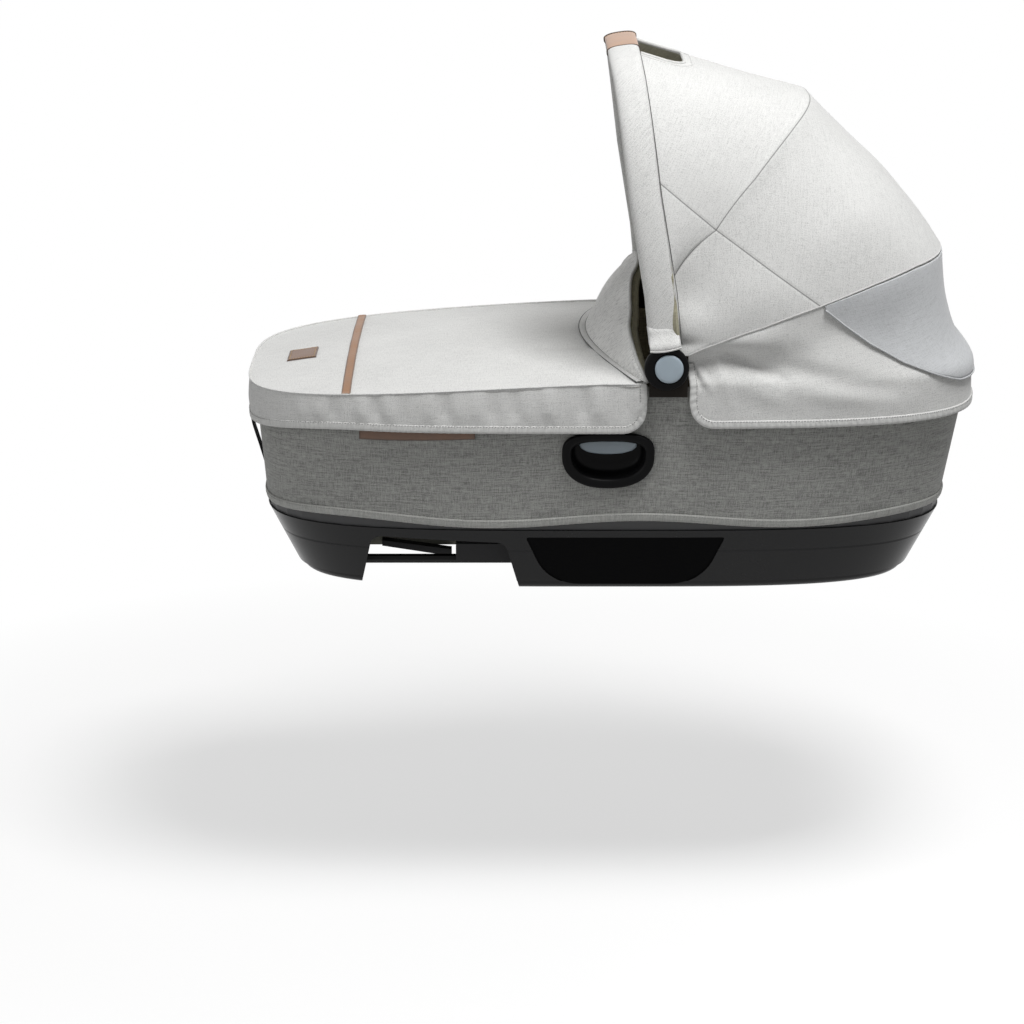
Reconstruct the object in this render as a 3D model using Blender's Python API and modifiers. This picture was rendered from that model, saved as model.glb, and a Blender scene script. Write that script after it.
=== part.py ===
"""Carrycot for a pushchair: rigid base, padded tub, apron and folding canopy.

The head end is at +X, the left side at +Y and up is +Z. The origin is on the
floor under the middle of the base. All lengths are metres.
"""
import math

import bmesh
import bpy
from mathutils import Matrix, Vector

MM = 0.001
CM = 0.01

# Driving dimensions of the body
RIM_HALF_LENGTH = 409.5 * MM
RIM_HALF_WIDTH = 215.5 * MM
RIM_HEIGHT = 246.5 * MM
RIM_DROP = 24 * MM
RIM_LEVEL_FROM = -10 * MM
HEM_HEIGHT = 85.5 * MM
HEM_WAVE = 4.5 * MM
HEM_WAVE_LENGTH = 340 * MM
HEM_WAVE_X = 30 * MM
LIP_HALF_LENGTH = 387 * MM
LIP_HALF_WIDTH = 191 * MM
LIP_HEIGHT = 76 * MM
FLOOR_HALF_LENGTH = 350 * MM
FLOOR_HALF_WIDTH = 163 * MM
LOWER_SET_BACK = 7.5 * MM
FOOT_RADIUS = 9 * MM
BASE_WALL = 3.5 * MM
TUB_WALL = 2.8 * MM
FABRIC = 1.5 * MM
FOAM_WALL = 18 * MM
GAP = 0.3 * MM
RUNNING_GAP = 0.6 * MM
OVERRUN = 6 * MM
WELD = 0.01 * MM

# Driving dimensions of the canopy, its bows and the hubs
HUB_X = 58 * MM
HUB_RISE = 23.5 * MM
HUB_Z = RIM_HEIGHT + HUB_RISE
HUB_RADIUS = 24.5 * MM
HUB_STAND_OFF = 16 * MM
HUB_FACE = RIM_HALF_WIDTH + HUB_STAND_OFF
HANDLE_ANGLE = math.radians(98.3)
MID_ANGLE = math.radians(58.5)
REAR_ANGLE = math.radians(19.0)
HANDLE_SET_IN = 16.8 * MM
HANDLE_HALF_WIDTH = HUB_FACE - HANDLE_SET_IN
HANDLE_REACH = 328.3 * MM
HANDLE_BREADTH = 30 * MM
HANDLE_THICKNESS = 8 * MM
SLEEVE_FABRIC = 1.1 * MM
MID_SET_IN = 25.3 * MM
MID_HALF_WIDTH = HUB_FACE - MID_SET_IN
MID_REACH = 309.5 * MM
REAR_EYE_SET_IN = 31 * MM
REAR_EYE_HALF_WIDTH = HUB_FACE - REAR_EYE_SET_IN
REAR_SIDE_CLEAR = 2 * MM
REAR_HALF_WIDTH = RIM_HALF_WIDTH + REAR_SIDE_CLEAR
REAR_REACH = 327.5 * MM
BOW_RADIUS = 2.5 * MM
PIN_RADIUS = 4 * MM
CANOPY_HEM_RISE = 45 * MM
CANOPY_HEM_HEIGHT = RIM_HEIGHT - CANOPY_HEM_RISE
CANOPY_END_CLEAR = 2 * MM
CANOPY_HALF_LENGTH = RIM_HALF_LENGTH + CANOPY_END_CLEAR
CANOPY_SIDE_CLEAR = 5 * MM
CANOPY_HALF_WIDTH = RIM_HALF_WIDTH + CANOPY_SIDE_CLEAR
CANOPY_FRONT_X = 82 * MM

# Driving dimensions of the apron
APRON_END_CLEAR = 3 * MM
APRON_HALF_LENGTH = RIM_HALF_LENGTH + APRON_END_CLEAR
APRON_SIDE_CLEAR = 4.3 * MM
APRON_HALF_WIDTH = RIM_HALF_WIDTH + APRON_SIDE_CLEAR
APRON_DEPTH = 51 * MM
APRON_HEM_HEIGHT = RIM_HEIGHT - APRON_DEPTH
APRON_FOOT_DROP = 15 * MM
APRON_FOOT_PART = 129.5 * MM
APRON_DROP_FROM = APRON_FOOT_PART - RIM_HALF_LENGTH
APRON_FRONT_X = 34 * MM
APRON_DIP = 66 * MM
APRON_CROWN = 15 * MM
APRON_FABRIC = 2.4 * MM

# Counts and outline exponents
PLAN_EXPONENT = 3.7
BOW_EXPONENT = 2.8
APRON_EXPONENT = 2.4
RIM_DROP_EXPONENT = 1.2
PLAN_POINTS = 44
FINE_STEPS = 400
BOW_POINTS = 27
CANOPY_POINTS = 37
SLEEVE_POINTS = 12
GRIP_POINTS = 7
EDGE_POINTS = 25
FLAP_POINTS = 21
STRIP_POINTS = 9
CORNER_STEPS = 6

COLLECTION_NAME = "carrycot"
PARTS = None
CUTTERS = None


def clear_scene():
    """Remove every object and make the two collections."""
    global PARTS, CUTTERS
    for item in list(bpy.data.objects):
        bpy.data.objects.remove(item, do_unlink=True)
    PARTS = bpy.data.collections.new(COLLECTION_NAME)
    CUTTERS = bpy.data.collections.new("cutters")
    bpy.context.scene.collection.children.link(PARTS)
    bpy.context.scene.collection.children.link(CUTTERS)


def finish(name, colour, roughness, metallic=0.0):
    """Return the Principled material of that name, made once."""
    found = bpy.data.materials.get(name)
    if found:
        return found
    made = bpy.data.materials.new(name)
    made.use_nodes = True
    shader = made.node_tree.nodes["Principled BSDF"]
    shader.inputs["Base Color"].default_value = (*colour, 1.0)
    shader.inputs["Roughness"].default_value = roughness
    shader.inputs["Metallic"].default_value = metallic
    made.diffuse_color = (*colour, 1.0)
    return made


def shell_black():
    return finish("shell_black", (0.012, 0.012, 0.013), 0.32)


def panel_black():
    return finish("panel_black", (0.008, 0.008, 0.009), 0.55)


def hub_black():
    return finish("hub_black", (0.010, 0.010, 0.011), 0.38)


def accent_blue_grey():
    return finish("accent_blue_grey", (0.26, 0.31, 0.36), 0.30)


def steel():
    return finish("steel", (0.45, 0.45, 0.46), 0.35, 1.0)


def black_tube():
    return finish("black_tube", (0.015, 0.015, 0.016), 0.40, 0.6)


def melange_fabric():
    return finish("melange_fabric", (0.70, 0.70, 0.66), 0.90)


def linen_fabric():
    return finish("linen_fabric", (0.24, 0.245, 0.23), 0.92)


def lining_fabric():
    return finish("lining_fabric", (0.13, 0.11, 0.07), 0.90)


def leather_tan():
    return finish("leather_tan", (0.38, 0.19, 0.085), 0.48)


def leather_brown():
    return finish("leather_brown", (0.16, 0.085, 0.05), 0.50)


def foam_grey():
    return finish("foam_grey", (0.35, 0.35, 0.35), 0.95)


def mattress_white():
    return finish("mattress_white", (0.78, 0.78, 0.75), 0.90)


def channel_olive():
    return finish("channel_olive", (0.10, 0.10, 0.075), 0.60)


def webbing_black():
    return finish("webbing_black", (0.010, 0.010, 0.010), 0.75)


def add_object(name, mesh, material, cutter=False):
    """Link a mesh as a named part, or as a hidden wire cutter."""
    item = bpy.data.objects.new(name, mesh)
    if cutter:
        CUTTERS.objects.link(item)
        item.hide_render = True
        item.display_type = "WIRE"
        return item
    PARTS.objects.link(item)
    mesh.materials.clear()
    mesh.materials.append(material)
    mesh.shade_smooth()
    mesh.set_sharp_from_angle(angle=math.radians(35))
    return item


def mesh_from(bm, name):
    """Turn a bmesh into a mesh datablock."""
    mesh = bpy.data.meshes.new(name)
    bm.to_mesh(mesh)
    bm.free()
    return mesh


def plan_point(half_length, half_width, exponent, turn):
    """A point of a plan outline at one turn from the head end."""
    cosine = math.cos(turn)
    sine = math.sin(turn)
    x = half_length * math.copysign(abs(cosine) ** (2 / exponent), cosine)
    y = half_width * math.copysign(abs(sine) ** (2 / exponent), sine)
    return x, y


def plan_turns(count):
    return [math.tau * (step + 0.5) / count for step in range(count)]


def superellipse(half_length, half_width, exponent, count, height=0.0):
    """Points of a plan outline, anticlockwise from the head end."""
    points = []
    for turn in plan_turns(count):
        x, y = plan_point(half_length, half_width, exponent, turn)
        points.append(Vector((x, y, height)))
    return points


def rim_height(x):
    """Height of the rim, which falls gently toward the foot end."""
    if x > RIM_LEVEL_FROM:
        return RIM_HEIGHT
    share = (RIM_LEVEL_FROM - x) / (RIM_HALF_LENGTH + RIM_LEVEL_FROM)
    return RIM_HEIGHT - RIM_DROP * share ** RIM_DROP_EXPONENT


def body_halves(height):
    """Half length and half width of the body's outside at a height."""
    if height <= LIP_HEIGHT:
        share = max(height, 0.0) / LIP_HEIGHT
        low = (FLOOR_HALF_LENGTH, FLOOR_HALF_WIDTH)
        high = (LIP_HALF_LENGTH, LIP_HALF_WIDTH)
    else:
        share = (height - LIP_HEIGHT) / (RIM_HEIGHT - LIP_HEIGHT)
        low = (LIP_HALF_LENGTH, LIP_HALF_WIDTH)
        high = (RIM_HALF_LENGTH, RIM_HALF_WIDTH)
    return tuple(a + (b - a) * share for a, b in zip(low, high))


def body_middle(height):
    """Where the body's middle is: under the rim it sits back to the foot end."""
    share = max(height - LIP_HEIGHT, 0.0) / (RIM_HEIGHT - LIP_HEIGHT)
    return -LOWER_SET_BACK * (1 - min(share, 1.0))


def body_ring(height, inset=0.0, count=PLAN_POINTS):
    """The body's outline at one height, drawn in by an inset."""
    half_length, half_width = body_halves(height)
    ring = superellipse(half_length - inset, half_width - inset, PLAN_EXPONENT, count, height)
    return [point + Vector((body_middle(height), 0.0, 0.0)) for point in ring]


def sloped_ring(height_at, inset, count=PLAN_POINTS):
    """The body's outline where its height changes along its length."""
    ring = []
    for turn in plan_turns(count):
        height = RIM_HEIGHT
        for _ in range(3):
            half_length, half_width = body_halves(height)
            x, y = plan_point(half_length - inset, half_width - inset, PLAN_EXPONENT, turn)
            x += body_middle(height)
            height = height_at(x)
        ring.append(Vector((x, y, height)))
    return ring


def wall_ring(share, low, inset, top_drop=0.0):
    """An outline between a level floor and the sloping rim."""
    return sloped_ring(lambda x: low + share * (rim_height(x) - top_drop - low), inset)


def skin(name, rings, material, closed=True, caps=True, cutter=False):
    """Loft rings of equal count into a closed solid or an open sheet."""
    bm = bmesh.new()
    rows = [[bm.verts.new(point) for point in ring] for ring in rings]
    count = len(rows[0])
    reach = count if closed else count - 1
    for low, high in zip(rows, rows[1:]):
        for step in range(reach):
            after = (step + 1) % count
            bm.faces.new((low[step], low[after], high[after], high[step]))
    if caps:
        bm.faces.new(rows[0])
        bm.faces.new(rows[-1])
        bmesh.ops.recalc_face_normals(bm, faces=bm.faces)
    return add_object(name, mesh_from(bm, name), material, cutter)


def ring_solid(name, outer_rings, inner_rings, material, cutter=False):
    """A wall that runs all round: outer rings up, inner rings down."""
    bm = bmesh.new()
    rings = list(outer_rings) + list(reversed(inner_rings))
    rows = [[bm.verts.new(point) for point in ring] for ring in rings]
    count = len(rows[0])
    for low, high in zip(rows, rows[1:] + rows[:1]):
        for step in range(count):
            after = (step + 1) % count
            bm.faces.new((low[step], low[after], high[after], high[step]))
    bmesh.ops.recalc_face_normals(bm, faces=bm.faces)
    return add_object(name, mesh_from(bm, name), material, cutter)


def quilt(name, outer_rows, inner_rows, material):
    """A closed sheet between an outer and an inner grid of points."""
    bm = bmesh.new()
    outer = [[bm.verts.new(point) for point in row] for row in outer_rows]
    inner = [[bm.verts.new(point) for point in row] for row in inner_rows]
    last = len(outer[0]) - 1
    for grid in (outer, inner):
        for low, high in zip(grid, grid[1:]):
            for step in range(last):
                bm.faces.new((low[step], low[step + 1], high[step + 1], high[step]))
    for row in (0, -1):
        for step in range(last):
            bm.faces.new((outer[row][step], outer[row][step + 1], inner[row][step + 1], inner[row][step]))
    for column in (0, last):
        for row in range(len(outer) - 1):
            bm.faces.new((outer[row][column], outer[row + 1][column],
                          inner[row + 1][column], inner[row][column]))
    bmesh.ops.recalc_face_normals(bm, faces=bm.faces)
    return add_object(name, mesh_from(bm, name), material)


def thick_sheet(name, rows, thickness, inside, material):
    """An open grid of points thickened toward the point called inside."""
    bm = bmesh.new()
    grid = [[bm.verts.new(point) for point in row] for row in rows]
    for low, high in zip(grid, grid[1:]):
        for step in range(len(low) - 1):
            bm.faces.new((low[step], low[step + 1], high[step + 1], high[step]))
    bm.normal_update()
    facing = sum((face.calc_center_median() - inside).dot(face.normal) for face in bm.faces)
    if facing < 0:
        bmesh.ops.reverse_faces(bm, faces=bm.faces)
    item = add_object(name, mesh_from(bm, name), material)
    solid = item.modifiers.new("thickness", "SOLIDIFY")
    solid.thickness = thickness
    solid.offset = -1
    solid.use_even_offset = True
    return item


def baked(item):
    """The evaluated mesh of an object in world space, with doubles welded."""
    bpy.context.view_layer.update()
    graph = bpy.context.evaluated_depsgraph_get()
    mesh = bpy.data.meshes.new_from_object(item.evaluated_get(graph), depsgraph=graph)
    mesh.transform(item.matrix_world)
    bm = bmesh.new()
    bm.from_mesh(mesh)
    bmesh.ops.remove_doubles(bm, verts=bm.verts, dist=WELD)
    bmesh.ops.recalc_face_normals(bm, faces=bm.faces)
    bm.to_mesh(mesh)
    bm.free()
    return mesh


def combine(item, other, operation):
    """Add a live Boolean that cuts, joins or keeps the overlap."""
    step = item.modifiers.new(other.name, "BOOLEAN")
    step.operation = operation
    step.object = other
    step.solver = "EXACT"
    return item


def cut(item, *cutters):
    for other in cutters:
        combine(item, other, "DIFFERENCE")
    return item


def curve_object(name, splines, cyclic, flat):
    """A poly curve, flat or in space, still a curve."""
    curve = bpy.data.curves.new(name, "CURVE")
    curve.dimensions = "2D" if flat else "3D"
    for points in splines:
        spline = curve.splines.new("POLY")
        spline.points.add(len(points) - 1)
        for slot, point in zip(spline.points, points):
            slot.co = (*point, 0.0, 1.0) if flat else (*point, 1.0)
        spline.use_cyclic_u = cyclic
    item = bpy.data.objects.new(name, curve)
    CUTTERS.objects.link(item)
    return item


def made_mesh(item, name, material, placing, cutter):
    """Replace a curve by its welded mesh and remove the curve."""
    mesh = baked(item)
    mesh.transform(placing)
    bpy.data.objects.remove(item, do_unlink=True)
    return add_object(name, mesh, material, cutter)


AXIS_TURNS = {
    "X": Matrix(((0, 0, 1), (1, 0, 0), (0, 1, 0))).to_4x4(),
    "Y": Matrix(((1, 0, 0), (0, 0, -1), (0, 1, 0))).to_4x4(),
    "Z": Matrix.Identity(4),
}
AXIS_WAYS = {"X": Vector((1, 0, 0)), "Y": Vector((0, 1, 0)), "Z": Vector((0, 0, 1))}


def plate(name, outline, low, high, axis, material=None, cutter=False):
    """A flat outline extruded along an axis between two places."""
    item = curve_object(name, [outline], True, True)
    item.data.fill_mode = "BOTH"
    item.data.extrude = abs(high - low) / 2
    placing = Matrix.Translation(AXIS_WAYS[axis] * (low + high) / 2) @ AXIS_TURNS[axis]
    return made_mesh(item, name, material, placing, cutter)


def tube(name, points, radius, material=None, cyclic=False, resolution=2, cutter=False):
    """A round bar along a route of points, with filled ends."""
    item = curve_object(name, [points], cyclic, False)
    item.data.bevel_depth = radius
    item.data.bevel_resolution = resolution
    item.data.use_fill_caps = not cyclic
    return made_mesh(item, name, material, Matrix.Identity(4), cutter)


def disc(name, radius, low, high, x, z, material=None, sides=32, cutter=False):
    """A cylinder whose axis runs along Y."""
    bm = bmesh.new()
    bmesh.ops.create_cone(
        bm, cap_ends=True, segments=sides, radius1=radius, radius2=radius, depth=abs(high - low)
    )
    turn = Matrix.Rotation(math.pi / 2, 4, "X")
    placing = Matrix.Translation(Vector((x, (low + high) / 2, z)))
    bmesh.ops.transform(bm, matrix=placing @ turn, verts=bm.verts)
    return add_object(name, mesh_from(bm, name), material, cutter)


def block(name, low, high, material=None, cutter=False):
    """A box between two corners."""
    bm = bmesh.new()
    bmesh.ops.create_cube(bm, size=1.0)
    low = Vector(low)
    high = Vector(high)
    size = high - low
    placing = Matrix.Translation((low + high) / 2) @ Matrix.Diagonal((*size, 1.0))
    bmesh.ops.transform(bm, matrix=placing, verts=bm.verts)
    return add_object(name, mesh_from(bm, name), material, cutter)


def rounded(corners, radius, steps=5):
    """Round each corner of a flat outline with an arc."""
    points = []
    count = len(corners)
    for index, corner in enumerate(corners):
        here = Vector(corner)
        before = (Vector(corners[index - 1]) - here).normalized()
        after = (Vector(corners[(index + 1) % count]) - here).normalized()
        half = before.angle(after) / 2
        size = radius[index] if isinstance(radius, (list, tuple)) else radius
        reach = size / math.tan(half)
        centre = here + (before + after).normalized() * size / math.sin(half)
        first = here + before * reach - centre
        last = here + after * reach - centre
        turn = first.angle_signed(last)
        for step in range(steps + 1):
            arm = first.copy()
            arm.rotate(Matrix.Rotation(-turn * step / steps, 2))
            points.append(centre + arm)
    return points


def move_origin(item, place):
    """Put an object's origin on its joint without moving its mesh."""
    item.data.transform(Matrix.Translation(-Vector(place)))
    item.location = place
    return item


def mirrored(item, name):
    """The same piece on the other side of the XZ plane, as its own mesh."""
    mesh = baked(item)
    mesh.transform(Matrix.Scale(-1, 4, Vector((0, 1, 0))))
    mesh.flip_normals()
    twin = add_object(name, mesh, item.data.materials[0])
    origin = item.matrix_world.translation
    move_origin(twin, Vector((origin.x, -origin.y, origin.z)))
    return twin


def pair(item):
    """Name a piece for the right side and mirror it to the left."""
    base_name = item.name
    twin = mirrored(item, base_name + "_left")
    item.name = base_name + "_right"
    return item, twin


# Base: tray with a tunnel, side panels and what crosses the tunnel
TUNNEL_FOOT_X = -287 * MM
TUNNEL_HEAD_X = -99 * MM
TUNNEL_TOP_FOOT_X = -269 * MM
TUNNEL_TOP_HEAD_X = -120 * MM
TUNNEL_TOP_FOOT = 66 * MM
TUNNEL_TOP_HEAD = 60 * MM
TUNNEL_CORNER = 12 * MM
TUNNEL_EDGE = 0.1 * MM
TUNNEL_WALL = 3 * MM
PANEL_FOOT_X = -97 * MM
PANEL_HEAD_X = 125 * MM
PANEL_TOP = 67 * MM
PANEL_BOTTOM = 6 * MM
PANEL_TOE = 26 * MM
PANEL_CORNER = 22 * MM
PANEL_TOP_CORNER = 2 * MM
PANEL_RECESS = 1.2 * MM
PANEL_THICKNESS = 1.2 * MM
RAIL_RADIUS = 5.5 * MM
RAIL_Y = 104 * MM
RAIL_Z = 18 * MM
RAIL_SEAT = 14 * MM
CHANNEL_HALF_WIDTH = 62 * MM
CHANNEL_LOW = 22 * MM
CHANNEL_HIGH = 45 * MM
CHANNEL_WALL = 2.5 * MM
BRACE_THICKNESS = 7 * MM
BRACE_DEPTH = 15 * MM
BRACE_RISE = 12 * MM
BRACE_SHARE = 0.62
RAIL_BLOCK_LENGTH = 62 * MM
RAIL_BLOCK_HEIGHT = 20 * MM
RAIL_BLOCK_DEPTH = 20 * MM


def base_rings(inset, low, levels_shares):
    """Outlines of the base from its floor to its lip."""
    rings = []
    foot_shares = (0.0, 0.3, 1.0)
    for share in foot_shares:
        lift = FOOT_RADIUS * (1 - math.sqrt(1 - share ** 2))
        draw = FOOT_RADIUS * (1 - math.sqrt(1 - (1 - share) ** 2))
        rings.append([Vector((p.x, p.y, low + lift)) for p in body_ring(low + lift, inset + draw)])
    start = low + FOOT_RADIUS
    for share in levels_shares:
        rings.append(body_ring(start + share * (LIP_HEIGHT - start), inset))
    return rings


def tunnel_outline(grow, floor):
    """The side view of the tunnel, grown outward by a wall."""
    corners = [
        (tunnel_foot(floor) - grow, floor),
        (tunnel_head(floor) + grow, floor),
        (TUNNEL_TOP_HEAD_X + grow, TUNNEL_TOP_HEAD + grow),
        (TUNNEL_TOP_FOOT_X - grow, TUNNEL_TOP_FOOT + grow),
    ]
    return rounded(corners, [TUNNEL_EDGE, TUNNEL_EDGE, TUNNEL_CORNER, TUNNEL_CORNER])


def panel_outline(grow):
    """The side view of the recessed panel, grown outward by a gap."""
    corners = [
        (PANEL_FOOT_X + PANEL_TOE - grow, PANEL_BOTTOM - grow),
        (PANEL_HEAD_X - PANEL_TOE + grow, PANEL_BOTTOM - grow),
        (PANEL_HEAD_X + grow, PANEL_TOP + grow),
        (PANEL_FOOT_X - grow, PANEL_TOP + grow),
    ]
    return rounded(corners, [PANEL_CORNER, PANEL_CORNER, PANEL_TOP_CORNER, PANEL_TOP_CORNER])


def build_base():
    """Base tray with the tunnel moulded through it and two side panels."""
    levels_shares = (0.3, 0.65, 1.0)
    reach = RIM_HALF_WIDTH
    shell = skin("base_shell", base_rings(0.0, 0.0, levels_shares), shell_black())
    cavity_rings = base_rings(BASE_WALL, BASE_WALL, levels_shares)
    cavity_rings.append(body_ring(LIP_HEIGHT + OVERRUN, BASE_WALL))
    cavity = skin("base_cavity", cavity_rings, None, cutter=True)
    keep = plate("tunnel_keep", tunnel_outline(TUNNEL_WALL, -OVERRUN), -reach, reach, "Y", cutter=True)
    cut(cavity, keep)
    cut(shell, cavity)
    tunnel = plate("tunnel_cut", tunnel_outline(0.0, -OVERRUN), -reach, reach, "Y", cutter=True)
    cut(shell, tunnel)
    panels = []
    for side, tag in ((-1, "right"), (1, "left")):
        pocket = plate("pocket_" + tag, panel_outline(GAP), 0.0, side * reach, "Y", cutter=True)
        core = skin("pocket_core_" + tag, core_rings(PANEL_RECESS + PANEL_THICKNESS), None, cutter=True)
        cut(pocket, core)
        cut(shell, pocket)
        panel = plate("base_side_panel_" + tag, panel_outline(0.0), 0.0, side * reach, "Y", panel_black())
        depth = PANEL_RECESS + PANEL_THICKNESS - GAP
        inner = skin("panel_inner_" + tag, core_rings(depth), None, cutter=True)
        outer = skin("panel_outer_" + tag, core_rings(PANEL_RECESS), None, cutter=True)
        combine(panel, outer, "INTERSECT")
        cut(panel, inner)
        panels.append(panel)
    cut_socket_slots(shell)
    cut_rail_seats(shell)
    return shell


def core_rings(inset):
    """A solid that follows the base wall at one depth under its surface."""
    low = -OVERRUN
    rings = [body_ring(0.0, inset)]
    rings[0] = [Vector((p.x, p.y, low)) for p in rings[0]]
    for share in (0.0, 0.08, 0.2, 0.42, 0.7, 1.0):
        rings.append(body_ring(share * LIP_HEIGHT, inset))
    rings.append([Vector((p.x, p.y, LIP_HEIGHT + OVERRUN)) for p in rings[-1]])
    return rings


def rail_route(side):
    foot = TUNNEL_FOOT_X - RAIL_SEAT
    head = TUNNEL_HEAD_X + RAIL_SEAT
    return [Vector((foot, side * RAIL_Y, RAIL_Z)), Vector((head, side * RAIL_Y, RAIL_Z))]


def cut_rail_seats(shell):
    """Holes in both tunnel walls that the rails pass through."""
    for side, tag in ((-1, "right"), (1, "left")):
        cut(shell, tube("rail_hole_" + tag, rail_route(side), RAIL_RADIUS + GAP, cutter=True))


def build_tunnel_parts():
    """Rails along the tunnel, the channel behind them, its brace and blocks."""
    for side, tag in ((-1, "right"), (1, "left")):
        inner = [point.copy() for point in rail_route(side)]
        inner[0].x += RUNNING_GAP
        inner[1].x -= RUNNING_GAP
        tube("base_rail_" + tag, inner, RAIL_RADIUS, black_tube())
        block_head = TUNNEL_HEAD_X - RAIL_BLOCK_LENGTH / 4
        low = (block_head - RAIL_BLOCK_LENGTH, side * RAIL_Y - RAIL_BLOCK_DEPTH / 2, RAIL_Z)
        high = (block_head, side * RAIL_Y + RAIL_BLOCK_DEPTH / 2, RAIL_Z + RAIL_BLOCK_HEIGHT)
        clamp = block("rail_block_" + tag, low, high, panel_black())
        cut(clamp, tube("clamp_hole_" + tag, rail_route(side), RAIL_RADIUS + GAP, cutter=True))
    y = CHANNEL_HALF_WIDTH
    outline = [
        Vector((tunnel_foot(CHANNEL_LOW) + GAP, CHANNEL_LOW)),
        Vector((tunnel_head(CHANNEL_LOW) - GAP, CHANNEL_LOW)),
        Vector((tunnel_head(CHANNEL_HIGH) - GAP, CHANNEL_HIGH)),
        Vector((tunnel_foot(CHANNEL_HIGH) + GAP, CHANNEL_HIGH)),
    ]
    channel = plate("support_channel", outline, -y, y, "Y", channel_olive())
    foot = tunnel_foot(CHANNEL_HIGH) + GAP
    head = tunnel_head(CHANNEL_HIGH) - GAP
    wall = CHANNEL_WALL
    low = (foot + wall, -y + wall, CHANNEL_LOW - OVERRUN)
    high = (head - wall, y - wall, CHANNEL_HIGH - wall)
    cut(channel, block("channel_cut", low, high, cutter=True))
    for side, tag in ((-1, "right"), (1, "left")):
        near = side * (y + GAP)
        far = side * (y + GAP + BRACE_DEPTH)
        length = (head - foot) * BRACE_SHARE
        start = Vector((foot + RAIL_SEAT, CHANNEL_HIGH - BRACE_THICKNESS))
        end = start + Vector((length, -BRACE_RISE))
        outline = [start, end, end + Vector((0, BRACE_THICKNESS)), start + Vector((0, BRACE_THICKNESS / 2))]
        plate("brace_link_" + tag, outline, near, far, "Y", panel_black())


def tunnel_foot(height):
    """Where the tunnel's foot wall is at one height."""
    return TUNNEL_FOOT_X + (TUNNEL_TOP_FOOT_X - TUNNEL_FOOT_X) * height / TUNNEL_TOP_FOOT


def tunnel_head(height):
    """Where the tunnel's head wall is at one height."""
    return TUNNEL_HEAD_X + (TUNNEL_TOP_HEAD_X - TUNNEL_HEAD_X) * height / TUNNEL_TOP_HEAD


# Tub: plastic wall and floor, foam, lining, board, mattress, fabric skirt
TUB_FLOOR = 2.8 * MM
LINING_FABRIC = 1.6 * MM
BOARD_THICKNESS = 3 * MM
BOARD_MARGIN = 4 * MM
MATTRESS_THICKNESS = 34 * MM
MATTRESS_MARGIN = 6 * MM
MATTRESS_CROWN = 8 * MM
BINDING_RADIUS = 1.6 * MM


def tub_inset():
    return FABRIC + GAP


def foam_inset():
    return tub_inset() + TUB_WALL + GAP


def lining_inset():
    return foam_inset() + FOAM_WALL + GAP


def skirt_hem(x):
    """Height of the skirt's hem, which waves a little along the side."""
    return HEM_HEIGHT + HEM_WAVE * math.cos(math.tau * (x - HEM_WAVE_X) / HEM_WAVE_LENGTH)


def build_tub():
    """Plastic tub with an open top and a flat floor on the base's lip."""
    low = LIP_HEIGHT + GAP
    outer = [wall_ring(share, low, tub_inset()) for share in (0.0, 0.5, 1.0)]
    tub = skin("tub", outer, shell_black())
    floor = low + TUB_FLOOR
    inner = [wall_ring(share, floor, tub_inset() + TUB_WALL) for share in (0.0, 0.5, 1.0)]
    inner.append([point + Vector((0, 0, OVERRUN)) for point in inner[-1]])
    cavity = skin("tub_cavity", inner, None, cutter=True)
    cut(tub, cavity)
    return tub


def foam_floor():
    return LIP_HEIGHT + GAP + TUB_FLOOR + GAP


def build_foam():
    """Foam wall lining the tub, cut away round the release parts."""
    low = foam_floor()
    outer = [wall_ring(share, low, foam_inset(), GAP) for share in (0.0, 0.5, 1.0)]
    inner = [wall_ring(share, low, foam_inset() + FOAM_WALL, GAP) for share in (0.0, 0.5, 1.0)]
    return ring_solid("foam_liner", outer, inner, foam_grey())


def build_lining():
    """Fabric that lines the foam from the floor to the rim."""
    low = foam_floor()
    outer = [wall_ring(share, low, lining_inset(), GAP) for share in (0.0, 0.5, 1.0)]
    inner = [wall_ring(share, low, lining_inset() + LINING_FABRIC, GAP) for share in (0.0, 0.5, 1.0)]
    return ring_solid("inner_lining", outer, inner, lining_fabric())


def build_bed():
    """Mattress board and crowned mattress."""
    low = foam_floor()
    inset = lining_inset() + LINING_FABRIC
    rings = [
        [Vector((p.x, p.y, height)) for p in body_ring(low, inset + BOARD_MARGIN)]
        for height in (low, low + BOARD_THICKNESS)
    ]
    skin("mattress_board", rings, panel_black())
    start = low + BOARD_THICKNESS + GAP
    full = inset + MATTRESS_MARGIN
    side_shares = ((0.0, 1.0), (0.15, 0.45), (0.5, 0.0), (0.82, 0.35), (1.0, 1.0))
    rings = []
    for rise, draw in side_shares:
        height = start + rise * MATTRESS_THICKNESS
        ring = body_ring(low, full + draw * MATTRESS_CROWN, 40)
        rings.append([Vector((p.x, p.y, height)) for p in ring])
    top = rings[-1]
    for inner_share in (0.8, 0.5, 0.2):
        crown = MATTRESS_CROWN * (1 - inner_share ** 2)
        rings.append([Vector((p.x * inner_share, p.y * inner_share, p.z + crown)) for p in top])
    skin("mattress", rings, mattress_white())


def skirt_ring(share, inset):
    """The skirt's outline between its waving hem and the rim."""
    return sloped_ring(lambda x: skirt_hem(x) + share * (rim_height(x) - skirt_hem(x)), inset)


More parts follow.
